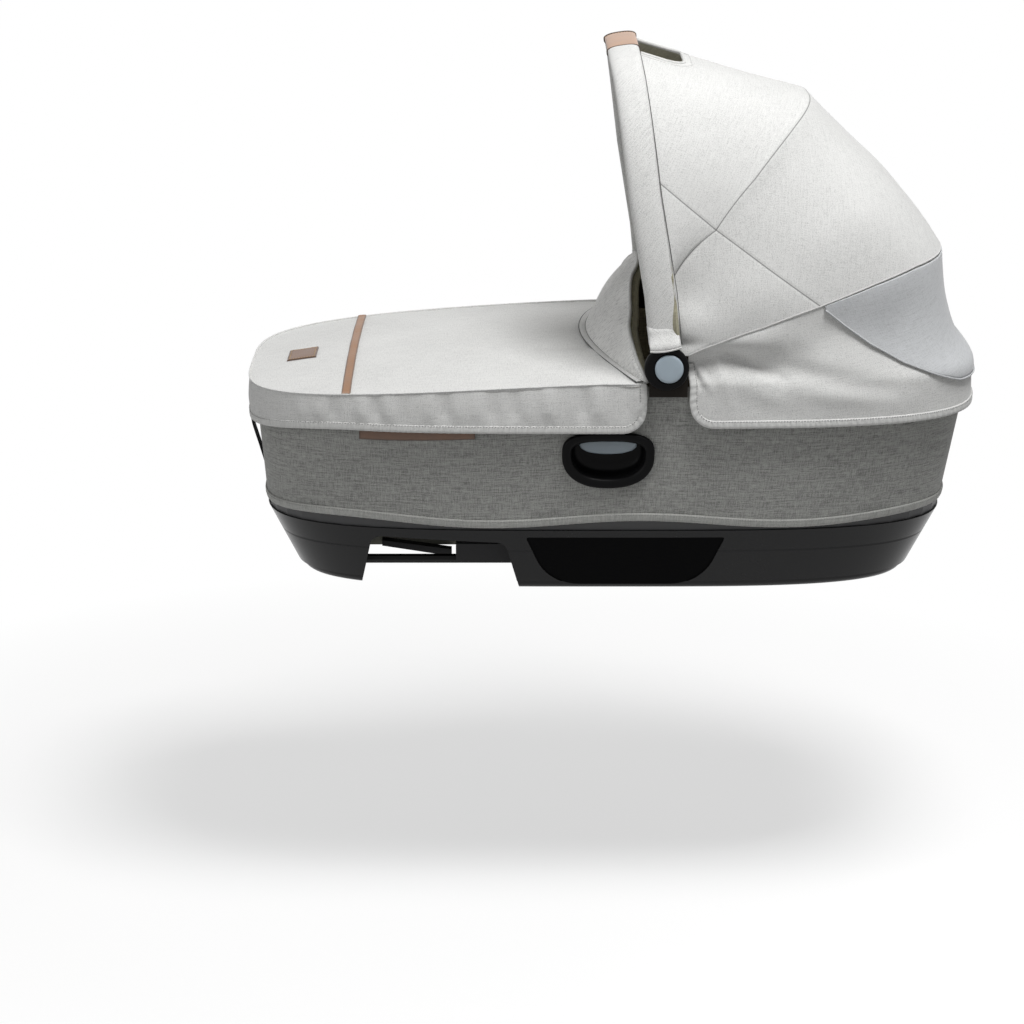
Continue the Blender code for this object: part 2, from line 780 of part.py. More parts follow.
def build_skirt():
    """Linen fabric drawn round the tub, with a bound hem."""
    level_shares = (0.0, 0.33, 0.66, 1.0)
    outer = [skirt_ring(share, 0.0) for share in level_shares]
    inner = [skirt_ring(share, FABRIC) for share in level_shares]
    skirt = ring_solid("side_skirt", outer, inner, linen_fabric())
    route = sloped_ring(lambda x: skirt_hem(x) - BINDING_RADIUS - GAP, FABRIC - BINDING_RADIUS - GAP / 2)
    tube("skirt_binding", route, BINDING_RADIUS, linen_fabric(), cyclic=True, resolution=1)
    return skirt


# Release cup in each side: cup with its flange, lever, spring and latch
CUP_X = -6.5 * MM
CUP_DROP = 78 * MM
CUP_Z = RIM_HEIGHT - CUP_DROP
CUP_HALF_WIDTH = 51 * MM
CUP_UP = 26 * MM
CUP_DOWN = 40 * MM
CUP_UP_EXPONENT = 3.0
CUP_DOWN_EXPONENT = 2.3
FLANGE_WIDTH = 9 * MM
FLANGE_THICKNESS = 6 * MM
CUP_WALL = 2 * MM
CUP_DEPTH = 17 * MM
LEVER_HALF_WIDTH = 33 * MM
LEVER_UP = 6 * MM
LEVER_DOWN = 12 * MM
LEVER_THICKNESS = 4 * MM
LEVER_SETBACK = 5 * MM
LEVER_RISE = 9 * MM
LEVER_PIN_RADIUS = 1.0 * MM
LATCH_WIDTH = 12 * MM
LATCH_THICKNESS = 3 * MM
LATCH_TOP = 126 * MM
LATCH_Y = 179.5 * MM
LATCH_JOG_HIGH = 62 * MM
LATCH_JOG_LOW = 40 * MM
LATCH_JOG = 32 * MM
HOOK_LOW = 30 * MM
HOOK_HEIGHT = 6 * MM
HOOK_REACH = 10 * MM
LATCH_TRAVEL = 6 * MM
SOCKET_HALF_LENGTH = 24 * MM
SOCKET_DEPTH = 30 * MM
SOCKET_WALL = 2.5 * MM
SOCKET_HEIGHT = 58 * MM
FLANGE_SEAT = 0.7 * MM
FLANGE_EDGE = 1.8 * MM
PIN_SEAT = 3.5 * MM
LEVER_SPRING_TURNS = 3
LEVER_SPRING_POINTS = 7
LEVER_SPRING_RADIUS = 3.2 * MM
LEVER_SPRING_WIRE = 0.5 * MM


def cup_plane():
    """Depth of the fabric at the cup's middle."""
    return body_halves(CUP_Z)[1]


def cup_tilt():
    """Lean of the body's side wall."""
    rise = RIM_HEIGHT - LIP_HEIGHT
    return math.atan2(RIM_HALF_WIDTH - LIP_HALF_WIDTH, rise)


def cup_frame():
    """Places cup pieces: local Y runs out of the right side wall."""
    place = Vector((CUP_X, -cup_plane(), CUP_Z))
    return Matrix.Translation(place) @ Matrix.Rotation(cup_tilt(), 4, "X")


def d_outline(half_width, up, down, count=30):
    """A rounded D: a flatter top over a deeper round bottom."""
    points = []
    for step in range(count):
        turn = math.tau * (step + 0.5) / count
        cosine = math.cos(turn)
        sine = math.sin(turn)
        exponent = CUP_UP_EXPONENT if sine > 0 else CUP_DOWN_EXPONENT
        height = up if sine > 0 else down
        x = half_width * math.copysign(abs(cosine) ** (2 / exponent), cosine)
        z = height * math.copysign(abs(sine) ** (2 / exponent), sine)
        points.append(Vector((x, z)))
    return points


def cup_plate(name, shrink, low, high, material=None, cutter=False):
    """A D-shaped slab in the cup's own frame; depths count inward."""
    outline = d_outline(CUP_HALF_WIDTH - shrink, CUP_UP - shrink, CUP_DOWN - shrink)
    item = plate(name, outline, low, high, "Y", material, cutter)
    item.data.transform(cup_frame())
    return item


def build_release():
    """Cup, lever, spring, latch and adaptor socket of the right side."""
    flange = cup_plate("release_cup", 0.0, -FLANGE_THICKNESS, -GAP - FLANGE_SEAT, hub_black())
    bevel = flange.modifiers.new("edge", "BEVEL")
    bevel.width = FLANGE_EDGE
    bevel.segments = 1
    bevel.limit_method = "ANGLE"
    body = cup_plate("cup_body", FLANGE_WIDTH - CUP_WALL, -FLANGE_THICKNESS / 2, CUP_DEPTH, cutter=True)
    combine(flange, body, "UNION")
    mouth = -FLANGE_THICKNESS - OVERRUN
    hollow = cup_plate("cup_hollow", FLANGE_WIDTH, mouth, CUP_DEPTH - CUP_WALL, cutter=True)
    cut(flange, hollow)
    build_lever(flange)
    pair(flange)
    build_latch()


def lever_pin_local():
    """The lever's hinge line in the cup's frame."""
    return Vector((0, LEVER_SETBACK + LEVER_THICKNESS / 2, LEVER_RISE + LEVER_UP - LEVER_PIN_RADIUS * 2))


def build_lever(cup):
    """Lens-shaped lever on a pin across the top of the cup."""
    outline = []
    for point in d_outline(LEVER_HALF_WIDTH, LEVER_UP, LEVER_DOWN, 20):
        outline.append(Vector((point.x, point.y + LEVER_RISE)))
    low = LEVER_SETBACK
    lever = plate("release_lever", outline, low, low + LEVER_THICKNESS, "Y", accent_blue_grey())
    bevel = lever.modifiers.new("edge", "BEVEL")
    bevel.width = LEVER_THICKNESS / 5
    bevel.segments = 1
    bevel.limit_method = "ANGLE"
    pin = lever_pin_local()
    inner_half = LEVER_HALF_WIDTH + PIN_SEAT
    shaft = tube("lever_pin", [pin - Vector((inner_half, 0, 0)), pin + Vector((inner_half, 0, 0))],
                 LEVER_PIN_RADIUS, steel(), resolution=2)
    reach = Vector((inner_half + GAP, 0, 0))
    bore = tube("lever_bore", [pin - reach, pin + reach], LEVER_PIN_RADIUS + GAP, cutter=True)
    cut(lever, bore)
    cut(cup, bore)
    spring_points = []
    for step in range(LEVER_SPRING_TURNS * LEVER_SPRING_POINTS + 1):
        angle = math.tau * step / LEVER_SPRING_POINTS
        depth = LEVER_SETBACK + LEVER_THICKNESS + GAP + LEVER_SPRING_WIRE
        reach = CUP_DEPTH - CUP_WALL - GAP - LEVER_SPRING_WIRE - depth
        along = depth + reach * step / (LEVER_SPRING_TURNS * LEVER_SPRING_POINTS)
        x = LEVER_SPRING_RADIUS * math.cos(angle)
        z = LEVER_RISE - LEVER_SPRING_RADIUS + LEVER_SPRING_RADIUS * math.sin(angle)
        spring_points.append(Vector((x, along, z)))
    spring = tube("lever_spring", spring_points, LEVER_SPRING_WIRE, steel(), resolution=0)
    for item in (lever, shaft, spring, bore):
        item.data.transform(cup_frame())
    move_origin(lever, cup_frame() @ pin)
    for item in (lever, shaft, spring):
        pair(item)


def latch_outline():
    """Side view of the jogged latch bar with its hook, as y and z."""
    outer = -LATCH_Y
    inner = outer + LATCH_THICKNESS
    outline = [
        (outer, LATCH_TOP), (outer, LATCH_JOG_HIGH), (outer + LATCH_JOG, LATCH_JOG_LOW),
        (outer + LATCH_JOG, HOOK_LOW), (inner + LATCH_JOG + HOOK_REACH, HOOK_LOW),
        (inner + LATCH_JOG + HOOK_REACH, HOOK_LOW + HOOK_HEIGHT / 2),
        (inner + LATCH_JOG + HOOK_REACH / 2, HOOK_LOW + HOOK_HEIGHT),
        (inner + LATCH_JOG, HOOK_LOW + HOOK_HEIGHT), (inner + LATCH_JOG, LATCH_JOG_LOW + LATCH_THICKNESS),
        (inner, LATCH_JOG_HIGH + LATCH_THICKNESS), (inner, LATCH_TOP),
    ]
    return [Vector(point) for point in outline]


def socket_outer_y():
    """Outside face of the socket, beside the latch's lower run."""
    return LATCH_Y - LATCH_JOG - LATCH_THICKNESS - RUNNING_GAP


def build_latch():
    """Jogged latch bar and the socket that takes a chassis adaptor."""
    low = CUP_X - LATCH_WIDTH / 2
    latch = plate("latch_bar", latch_outline(), low, low + LATCH_WIDTH, "X", steel())
    move_origin(latch, Vector((CUP_X, -LATCH_Y, LATCH_TOP)))
    pair(latch)
    far = socket_outer_y()
    near = far - SOCKET_DEPTH
    floor = BASE_WALL + GAP
    box_low = (CUP_X - SOCKET_HALF_LENGTH, -far, floor)
    box_high = (CUP_X + SOCKET_HALF_LENGTH, -near, floor + SOCKET_HEIGHT)
    socket = block("adaptor_socket", box_low, box_high, panel_black())
    wall = SOCKET_WALL
    inner_low = (CUP_X - SOCKET_HALF_LENGTH + wall, -far + wall, floor - OVERRUN)
    inner_high = (CUP_X + SOCKET_HALF_LENGTH - wall, -near - wall, floor + SOCKET_HEIGHT - wall)
    cut(socket, block("socket_hollow", inner_low, inner_high, cutter=True))
    window_low = (low - RUNNING_GAP, -far - OVERRUN, HOOK_LOW - RUNNING_GAP)
    window_high = (low + LATCH_WIDTH + RUNNING_GAP, -far + wall + OVERRUN,
                   HOOK_LOW + HOOK_HEIGHT + LATCH_TRAVEL + RUNNING_GAP)
    cut(socket, block("socket_window", window_low, window_high, cutter=True))
    pair(socket)


def cut_socket_slots(shell):
    """Openings in the base floor under the two adaptor sockets."""
    far = socket_outer_y()
    wall = SOCKET_WALL
    for side, tag in ((-1, "right"), (1, "left")):
        places = (side * (far - wall), side * (far - SOCKET_DEPTH + wall))
        low = (CUP_X - SOCKET_HALF_LENGTH + wall, min(places), -OVERRUN)
        high = (CUP_X + SOCKET_HALF_LENGTH - wall, max(places), BASE_WALL + OVERRUN)
        cut(shell, block("socket_slot_" + tag, low, high, cutter=True))


def cut_for_release(skirt, tub, foam):
    """Openings in skirt, tub and foam round the cups and latch bars."""
    for side, tag in ((1, "right"), (-1, "left")):
        hole = cup_plate("cup_hole_" + tag, FLANGE_WIDTH - CUP_WALL - GAP,
                         -OVERRUN * 2, CUP_DEPTH + OVERRUN, cutter=True)
        if side < 0:
            hole.data.transform(Matrix.Scale(-1, 4, Vector((0, 1, 0))))
            hole.data.flip_normals()
        cut(skirt, hole)
        cut(tub, hole)
        outside = -side * (LATCH_Y + RUNNING_GAP)
        inside = -side * (LATCH_Y - LATCH_THICKNESS - RUNNING_GAP)
        low = (CUP_X - LATCH_WIDTH / 2 - RUNNING_GAP, min(outside, inside), LIP_HEIGHT - OVERRUN)
        high = (CUP_X + LATCH_WIDTH / 2 + RUNNING_GAP, max(outside, inside), LIP_HEIGHT + OVERRUN)
        cut(tub, block("latch_slot_" + tag, low, high, cutter=True))
        wall = (RIM_HALF_WIDTH + OVERRUN) * -side
        start = -side * (LATCH_Y - LATCH_THICKNESS - RUNNING_GAP)
        room = CUP_HALF_WIDTH - FLANGE_WIDTH + CUP_WALL + RUNNING_GAP * 2
        low = (CUP_X - room, min(wall, start), LIP_HEIGHT)
        high = (CUP_X + room, max(wall, start), CUP_Z + CUP_UP)
        cut(foam, block("release_room_" + tag, low, high, cutter=True))


# Hubs: channel bracket, pin, disc with a button, and the spring behind it
BRACKET_HALF_LENGTH = 21 * MM
BRACKET_SHELF = 5.5 * MM
BRACKET_PLATE = 1.8 * MM
BRACKET_INNER_PLATE = 4.5 * MM
BRACKET_INNER_FACE = 193 * MM
BRACKET_OUTER_FACE = 222.5 * MM
BRACKET_LIP_DROP = 10 * MM
EYE_RADIUS = 12.5 * MM
BUTTON_RADIUS = 15.6 * MM
BUTTON_THICKNESS = 4.5 * MM
BUTTON_PROUD = 1.5 * MM
BUTTON_TRAVEL = 3 * MM
BUTTON_WELL_FLOOR = 1.5 * MM
BUTTON_SPRING_RADIUS = 8 * MM
BUTTON_SPRING_WIRE = 0.5 * MM
BUTTON_SPRING_TURNS = 2
BUTTON_SPRING_POINTS = 8
HUB_EDGE = 2.2 * MM
BUTTON_EDGE = 1.2 * MM


def build_bracket():
    """Channel bracket on the rim with the pivot pin through its plates."""
    shelf = RIM_HEIGHT + GAP
    top = HUB_Z + EYE_RADIUS
    inner = -BRACKET_INNER_FACE
    outer = -BRACKET_OUTER_FACE
    outline = [
        (outer, shelf - BRACKET_LIP_DROP), (outer, top), (outer + BRACKET_PLATE, top),
        (outer + BRACKET_PLATE, shelf + BRACKET_SHELF), (inner - BRACKET_INNER_PLATE, shelf + BRACKET_SHELF),
        (inner - BRACKET_INNER_PLATE, top), (inner, top), (inner, shelf),
        (outer + BRACKET_PLATE, shelf), (outer + BRACKET_PLATE, shelf - BRACKET_LIP_DROP),
    ]
    low = HUB_X - BRACKET_HALF_LENGTH
    high = HUB_X + BRACKET_HALF_LENGTH
    bracket = plate("hub_bracket", [Vector(p) for p in outline], low, high, "X", hub_black())
    bore = disc("bracket_bore", PIN_RADIUS + GAP, outer - OVERRUN, inner + OVERRUN, HUB_X, HUB_Z, cutter=True)
    cut(bracket, bore)
    pair(bracket)
    pin = disc("hub_pin", PIN_RADIUS, outer, inner, HUB_X, HUB_Z, steel(), 24)
    pair(pin)


def build_hub():
    """Round hub cap with its push button and return spring."""
    back = -(BRACKET_OUTER_FACE + GAP)
    face = -HUB_FACE
    cap = disc("hub_cap", HUB_RADIUS, face, back, HUB_X, HUB_Z, hub_black(), 32)
    bevel = cap.modifiers.new("edge", "BEVEL")
    bevel.width = HUB_EDGE
    bevel.segments = 2
    bevel.limit_method = "ANGLE"
    well = disc("button_well", BUTTON_RADIUS + GAP, face - OVERRUN, back - BUTTON_WELL_FLOOR,
                HUB_X, HUB_Z, sides=24, cutter=True)
    cut(cap, well)
    pair(cap)
    front = face - BUTTON_PROUD
    button = disc("hub_button", BUTTON_RADIUS, front, front + BUTTON_THICKNESS, HUB_X, HUB_Z,
                  accent_blue_grey(), 28)
    bevel = button.modifiers.new("edge", "BEVEL")
    bevel.width = BUTTON_EDGE
    bevel.segments = 1
    bevel.limit_method = "ANGLE"
    move_origin(button, Vector((HUB_X, front, HUB_Z)))
    pair(button)
    points = []
    start = back - BUTTON_WELL_FLOOR - GAP - BUTTON_SPRING_WIRE
    end = front + BUTTON_THICKNESS + GAP + BUTTON_SPRING_WIRE
    total = BUTTON_SPRING_TURNS * BUTTON_SPRING_POINTS
    for step in range(total + 1):
        angle = math.tau * step / BUTTON_SPRING_POINTS
        x = HUB_X + BUTTON_SPRING_RADIUS * math.cos(angle)
        z = HUB_Z + BUTTON_SPRING_RADIUS * math.sin(angle)
        points.append(Vector((x, start + (end - start) * step / total, z)))
    pair(tube("button_spring", points, BUTTON_SPRING_WIRE, steel(), resolution=0))


# Bows: carry handle, its leather grip and fabric sleeves, and two wire bows
GRIP_HALF_LENGTH = 58 * MM
GRIP_LEATHER = 1.8 * MM
SLEEVE_START = 27 * MM
REAR_JOG_FROM = 60 * MM
REAR_JOG_TO = 120 * MM
EYE_SHARE = 0.7


def bow_point(angle, half_width, reach, turn, shift=0.0, exponent=BOW_EXPONENT):
    """A point of a bow that stands in a plane through the hub axis."""
    cosine = math.cos(turn)
    across = -half_width * math.copysign(abs(cosine) ** (2 / exponent), cosine)
    out = reach * math.sin(turn) ** (2 / exponent)
    x = HUB_X + out * math.cos(angle) + shift * math.sin(angle)
    z = HUB_Z + out * math.sin(angle) - shift * math.cos(angle)
    return Vector((x, across, z))


def turn_at_out(out, reach, exponent=BOW_EXPONENT):
    """The turn at which a bow's leg has come this far from the hub."""
    return math.asin((out / reach) ** (exponent / 2))


def turn_at_y(y, half_width, exponent=BOW_EXPONENT):
    """The turn, on the first leg's side, at which a bow is this far out."""
    return math.acos((y / half_width) ** (exponent / 2))


def spaced(point_at, first, last, count):
    """Parameters that space points evenly along a curve."""
    steps = [first + (last - first) * step / FINE_STEPS for step in range(FINE_STEPS + 1)]
    points = [point_at(step) for step in steps]
    lengths = [0.0]
    for a, b in zip(points, points[1:]):
        lengths.append(lengths[-1] + (b - a).length)
    chosen = []
    index = 0
    for place in range(count):
        goal = lengths[-1] * place / (count - 1)
        while index < FINE_STEPS - 1 and lengths[index + 1] < goal:
            index += 1
        share = (goal - lengths[index]) / (lengths[index + 1] - lengths[index])
        chosen.append(steps[index] + min(share, 1.0) * (steps[index + 1] - steps[index]))
    return chosen


def even_turns(half_width, reach, first, last, count):
    """Turns that space points evenly along a bow between two turns."""
    return spaced(lambda turn: bow_point(0.0, half_width, reach, turn), first, last, count)


def bow_frames(turns, angle, half_width, reach):
    """Centre, outward normal and plane normal along a bow."""
    across = Vector((math.sin(angle), 0.0, -math.cos(angle)))
    frames = []
    for turn in turns:
        step = math.pi / FINE_STEPS
        before = bow_point(angle, half_width, reach, max(turn - step, 0.0))
        after = bow_point(angle, half_width, reach, min(turn + step, math.pi))
        along = (after - before).normalized()
        frames.append((bow_point(angle, half_width, reach, turn), across.cross(along).normalized(), across))
    return frames


def section(half_breadth, half_thickness, corner):
    """A flat oval bar section as breadth and thickness offsets."""
    corners = [
        (-half_breadth, -half_thickness), (half_breadth, -half_thickness),
        (half_breadth, half_thickness), (-half_breadth, half_thickness),
    ]
    return rounded(corners, corner, 1)


def swept(name, frames, half_breadth, half_thickness, material, cutter=False):
    """Sweep the flat oval section along a bow."""
    corner = half_thickness * 0.8
    rings = []
    for centre, outward, across in frames:
        ring = [centre + across * p.x + outward * p.y for p in section(half_breadth, half_thickness, corner)]
        rings.append(ring)
    return skin(name, rings, material, cutter=cutter)


def build_handle():
    """Carry handle: flat tube, eyes, leather grip and two fabric sleeves."""
    sleeve_turns, grip_turns = cover_turns()
    far_turns = [math.pi - turn for turn in reversed(sleeve_turns)]
    turns = [0.0] + sleeve_turns + grip_turns + far_turns + [math.pi]
    frames = bow_frames(turns, HANDLE_ANGLE, HANDLE_HALF_WIDTH, HANDLE_REACH)
    half_breadth = HANDLE_BREADTH / 2
    half_thickness = HANDLE_THICKNESS / 2
    handle = swept("handle_bow", frames, half_breadth, half_thickness, black_tube())
    for side, tag in ((-1, "right"), (1, "left")):
        low = side * (HANDLE_HALF_WIDTH - half_thickness)
        high = side * (HANDLE_HALF_WIDTH + half_thickness)
        eye = disc("handle_eye_" + tag, half_breadth, low, high, HUB_X, HUB_Z, sides=32, cutter=True)
        combine(handle, eye, "UNION")
        bore = disc("handle_bore_" + tag, PIN_RADIUS + GAP, low - side * OVERRUN, high + side * OVERRUN,
                    HUB_X, HUB_Z, sides=24, cutter=True)
        cut(handle, bore)
    move_origin(handle, Vector((HUB_X, 0.0, HUB_Z)))
    shell_between("handle_grip", grip_turns, GRIP_LEATHER, leather_tan())
    pair(shell_between("handle_sleeve", sleeve_turns, SLEEVE_FABRIC, melange_fabric()))


def cover_turns():
    """Turns along the right sleeve and along the grip."""
    start = turn_at_out(SLEEVE_START, HANDLE_REACH)
    end = turn_at_y(GRIP_HALF_LENGTH + GAP, HANDLE_HALF_WIDTH)
    sleeve = even_turns(HANDLE_HALF_WIDTH, HANDLE_REACH, start, end, SLEEVE_POINTS)
    start = turn_at_y(GRIP_HALF_LENGTH, HANDLE_HALF_WIDTH)
    grip = even_turns(HANDLE_HALF_WIDTH, HANDLE_REACH, start, math.pi - start, GRIP_POINTS)
    return sleeve, grip


def shell_between(name, turns, wall, material):
    """A tight cover round one stretch of the handle."""
    frames = bow_frames(turns, HANDLE_ANGLE, HANDLE_HALF_WIDTH, HANDLE_REACH)
    inner_breadth = HANDLE_BREADTH / 2 + GAP
    inner_thickness = HANDLE_THICKNESS / 2 + GAP
    rings = []
    for grow in (wall, 0.0):
        layer = []
        half_breadth = inner_breadth + grow
        half_thickness = inner_thickness + grow
        for centre, outward, across in frames:
            points = section(half_breadth, half_thickness, half_thickness * 0.8)
            layer.append([centre + across * p.x + outward * p.y for p in points])
        rings.append(layer)
    return ring_solid(name, rings[0], rings[1], material)


def rear_half_width(out):
    """The rear bow's legs step outward past the hubs."""
    share = min(max((out - REAR_JOG_FROM) / (REAR_JOG_TO - REAR_JOG_FROM), 0.0), 1.0)
    share = share * share * (3 - 2 * share)
    return REAR_EYE_HALF_WIDTH + (REAR_HALF_WIDTH - REAR_EYE_HALF_WIDTH) * share


def build_wire_bows():
    """Middle and rear wire bows with a drilled eye at each end."""
    turns = even_turns(MID_HALF_WIDTH, MID_REACH, 0.0, math.pi, BOW_POINTS)
    points = [bow_point(MID_ANGLE, MID_HALF_WIDTH, MID_REACH, turn) for turn in turns]
    wire_bow("mid_bow", points, MID_HALF_WIDTH)
    turns = even_turns(REAR_HALF_WIDTH, REAR_REACH, 0.0, math.pi, BOW_POINTS)
    points = []
    for turn in turns:
        plain = bow_point(REAR_ANGLE, REAR_HALF_WIDTH, REAR_REACH, turn)
        out = math.hypot(plain.x - HUB_X, plain.z - HUB_Z)
        plain.y *= rear_half_width(out) / REAR_HALF_WIDTH
        points.append(plain)
    wire_bow("rear_bow", points, REAR_EYE_HALF_WIDTH)


def wire_bow(name, points, eye_y):
    bow = tube(name, points, BOW_RADIUS, steel(), resolution=1)
    for side, tag in ((-1, "right"), (1, "left")):
        low = side * (eye_y - BOW_RADIUS)
        high = side * (eye_y + BOW_RADIUS)
        eye = disc(name + "_eye_" + tag, EYE_RADIUS * EYE_SHARE, low, high, HUB_X, HUB_Z, sides=16, cutter=True)
        combine(bow, eye, "UNION")
        bore = disc(name + "_bore_" + tag, PIN_RADIUS + GAP, low - side * OVERRUN, high + side * OVERRUN,
                    HUB_X, HUB_Z, sides=12, cutter=True)
        cut(bow, bore)
    move_origin(bow, Vector((HUB_X, 0.0, HUB_Z)))
    return bow


# Canopy fabric: front panel, rear panel, lower skirt and the vent flap
CANOPY_START = 30 * MM
FABRIC_CLEAR = 0.4 * MM
HAND_HOLE_BACK_X = 79 * MM
HAND_HOLE_HALF_WIDTH = 60 * MM
HAND_HOLE_CORNER = 18 * MM
CANOPY_DIP = 2 * MM
CANOPY_PUFF = 10 * MM
SKIRT_DRAW = 11 * MM
SKIRT_SHOULDER = 4 * MM
PANEL_SHARES = (0.33, 0.67)
FLAP_ROW_SHARES = (0.0, 0.33, 0.67, 1.0)
SKIRT_SHARES = (0.35, 0.7)
HEM_CORNER = 26 * MM
VENT_DROP_SHARE = 0.93
FLAP_SKIP_SHARE = 0.16
FLAP_TOP_SHARE = 0.03
FLAP_LEAST_SHARE = 0.1
VENT_STAND_OFF = 0.7 * MM


def canopy_row(angle, half_width, reach, inset, shift=0.0):
    """One layer's row of fabric points over a bow, outside the hubs."""
    start = turn_at_out(CANOPY_START, reach)
    turns = even_turns(half_width, reach, start, math.pi - start, CANOPY_POINTS)
    return [bow_point(angle, half_width - inset, reach - inset, turn, shift) for turn in turns]


def between(first, second, share, dip):
    """A row of points between two bows, drawn in where the fabric spans."""
    centre = Vector((HUB_X, 0.0, HUB_Z))
    row = []
    for a, b in zip(first, second):
        point = a.lerp(b, share)
        inward = (centre - point).normalized()
        span = (a - b).length
        sag = dip * 4 * share * (1 - share) * span / HANDLE_REACH
        row.append(point + inward * sag)
    return row


def front_row(inset):
    """Fabric just behind the handle's sleeve."""
    shift = HANDLE_BREADTH / 2 + SLEEVE_FABRIC + GAP * 3
    half_width = HANDLE_HALF_WIDTH + HANDLE_THICKNESS / 2 + SLEEVE_FABRIC + GAP * 2
    return canopy_row(HANDLE_ANGLE, half_width, HANDLE_REACH + HANDLE_THICKNESS / 2, inset, shift)


def mid_row(inset, shift):
    grow = BOW_RADIUS + FABRIC_CLEAR + FABRIC
    return canopy_row(MID_ANGLE, MID_HALF_WIDTH + grow, MID_REACH + grow, inset, shift)


def rear_row(inset, shift):
    grow = BOW_RADIUS + FABRIC_CLEAR + FABRIC
    return canopy_row(REAR_ANGLE, REAR_HALF_WIDTH + grow, REAR_REACH + grow, inset, shift)


def panel_layer(first, last, dip):
    """Rows of one fabric layer from one bow to the next."""
    return [first] + [between(first, last, share, dip) for share in PANEL_SHARES] + [last]


def build_canopy():
    """Fabric panels between the bows and the skirt round the head end."""
    half_gap = GAP / 2
    layers = [panel_layer(front_row(inset), mid_row(inset, -half_gap), CANOPY_DIP) for inset in (0.0, FABRIC)]
    front = quilt("canopy_front", layers[0], layers[1], melange_fabric())
    cut(front, hand_hole())
    layers = [panel_layer(mid_row(inset, half_gap), rear_row(inset, -half_gap), -CANOPY_PUFF)
              for inset in (0.0, FABRIC)]
    quilt("canopy_rear", layers[0], layers[1], melange_fabric())
    build_canopy_skirt()


def hand_hole():
    """The notch behind the grip that a hand reaches through."""
    y = HAND_HOLE_HALF_WIDTH
    front = HUB_X - HANDLE_REACH / 2
    corners = [(front, -y), (HAND_HOLE_BACK_X, -y), (HAND_HOLE_BACK_X, y), (front, y)]
    outline = rounded(corners, HAND_HOLE_CORNER)
    low = HUB_Z + HANDLE_REACH / 2
    return plate("hand_hole", outline, low, HUB_Z + HANDLE_REACH + OVERRUN, "Z", cutter=True)


def hem_point(turn, height, inset):
    """A point of the canopy's hem, at a turn from the right side."""
    half_length = CANOPY_HALF_LENGTH - inset
    half_width = CANOPY_HALF_WIDTH - inset
    x, y = plan_point(half_length, half_width, PLAN_EXPONENT, turn - math.pi / 2)
    return Vector((x, y, height))


def hem_row(count, height, inset):
    """Canopy hem from the right hub round the head end to the left hub."""
    first = math.asin((CANOPY_FRONT_X / CANOPY_HALF_LENGTH) ** (PLAN_EXPONENT / 2))
    turns = spaced(lambda turn: hem_point(turn, height, 0.0), first, math.pi - first, count)
    return [hem_point(turn, height, inset) for turn in turns]


def skirt_rows(inset):
    """Rows of the canopy's skirt: rear bow, drawn-in side, rim and hem."""
    top = rear_row(inset, GAP / 2)
    rim = hem_row(CANOPY_POINTS, RIM_HEIGHT + SKIRT_SHOULDER, inset)
    rows = [top]
    for share in SKIRT_SHARES:
        row = []
        for a, b in zip(top, rim):
            point = a.lerp(b, share)
            rear = min(max((point.x - HUB_X) / REAR_REACH, 0.0), 1.0)
            point.x -= SKIRT_DRAW * 4 * share * (1 - share) * rear ** 3
            row.append(point)
        rows.append(row)
    rows.append(rim)
    rows.append(hem_row(CANOPY_POINTS, CANOPY_HEM_HEIGHT, inset))
    return rows


def build_canopy_skirt():
    """Static lower fabric from the rear bow down to the hem."""
    rows = skirt_rows(0.0)
    skirt = quilt("canopy_skirt", rows, skirt_rows(FABRIC), melange_fabric())
    cut(skirt, skirt_corner_cutter(-1), skirt_corner_cutter(1))
    build_vent_flap()


def skirt_corner_cutter(side):
    """Rounds the hem's front corner beside the hub."""
    x = CANOPY_FRONT_X
    z = CANOPY_HEM_HEIGHT
    radius = HEM_CORNER
    outline = [Vector((x - OVERRUN, z - OVERRUN)), Vector((x + radius, z - OVERRUN))]
    for step in range(CORNER_STEPS + 1):
        angle = math.pi / 2 * (1 + step / CORNER_STEPS)
        outline.append(Vector((x + radius + radius * math.cos(angle), z + radius - radius * math.sin(angle))))
    outline.append(Vector((x - OVERRUN, z + radius)))
    tag = "right" if side < 0 else "left"
    near = side * (CANOPY_HALF_WIDTH - HEM_CORNER)
    far = side * (CANOPY_HALF_WIDTH + OVERRUN * 2)
    return plate("hem_corner_" + tag, outline, near, far, "Y", cutter=True)


def build_vent_flap():
    """Second layer that hangs from the rear bow over the head end."""
    layers = []
    for stand_off in (FABRIC + VENT_STAND_OFF, VENT_STAND_OFF):
        layers.append(vent_rows(stand_off))
    quilt("vent_flap", layers[0], layers[1], melange_fabric())


def vent_rows(stand_off):
    """Rows of the flap, which is deepest behind and rises to its sides."""
    rows = skirt_rows(0.0)[:-1]
    count = len(rows[0])
    skip = round(count * FLAP_SKIP_SHARE)
    layer = []
    for drop in FLAP_ROW_SHARES:
        row = []
        for index in range(skip, count - skip):
            along = (index - skip) / (count - 1 - 2 * skip)
            edge = min(along, 1 - along) * 2
            depth = VENT_DROP_SHARE * (1 - (1 - edge) ** 2) ** 0.7
            share = FLAP_TOP_SHARE + (max(depth, FLAP_LEAST_SHARE) - FLAP_TOP_SHARE) * drop
            point = sample_column(rows, index, share)
            outward = Vector((point.x - HUB_X, point.y, 0.0)).normalized()
            row.append(point + outward * stand_off)
        layer.append(row)
    return layer


def sample_column(rows, index, share):
    """A point down one column of rows, at a share of its height."""
    shares = [0.0] + list(SKIRT_SHARES) + [1.0]
    for low, high, a, b in zip(shares, shares[1:], rows, rows[1:]):
        if share <= high:
            return a[index].lerp(b[index], (share - low) / (high - low))
    return rows[-1][index]


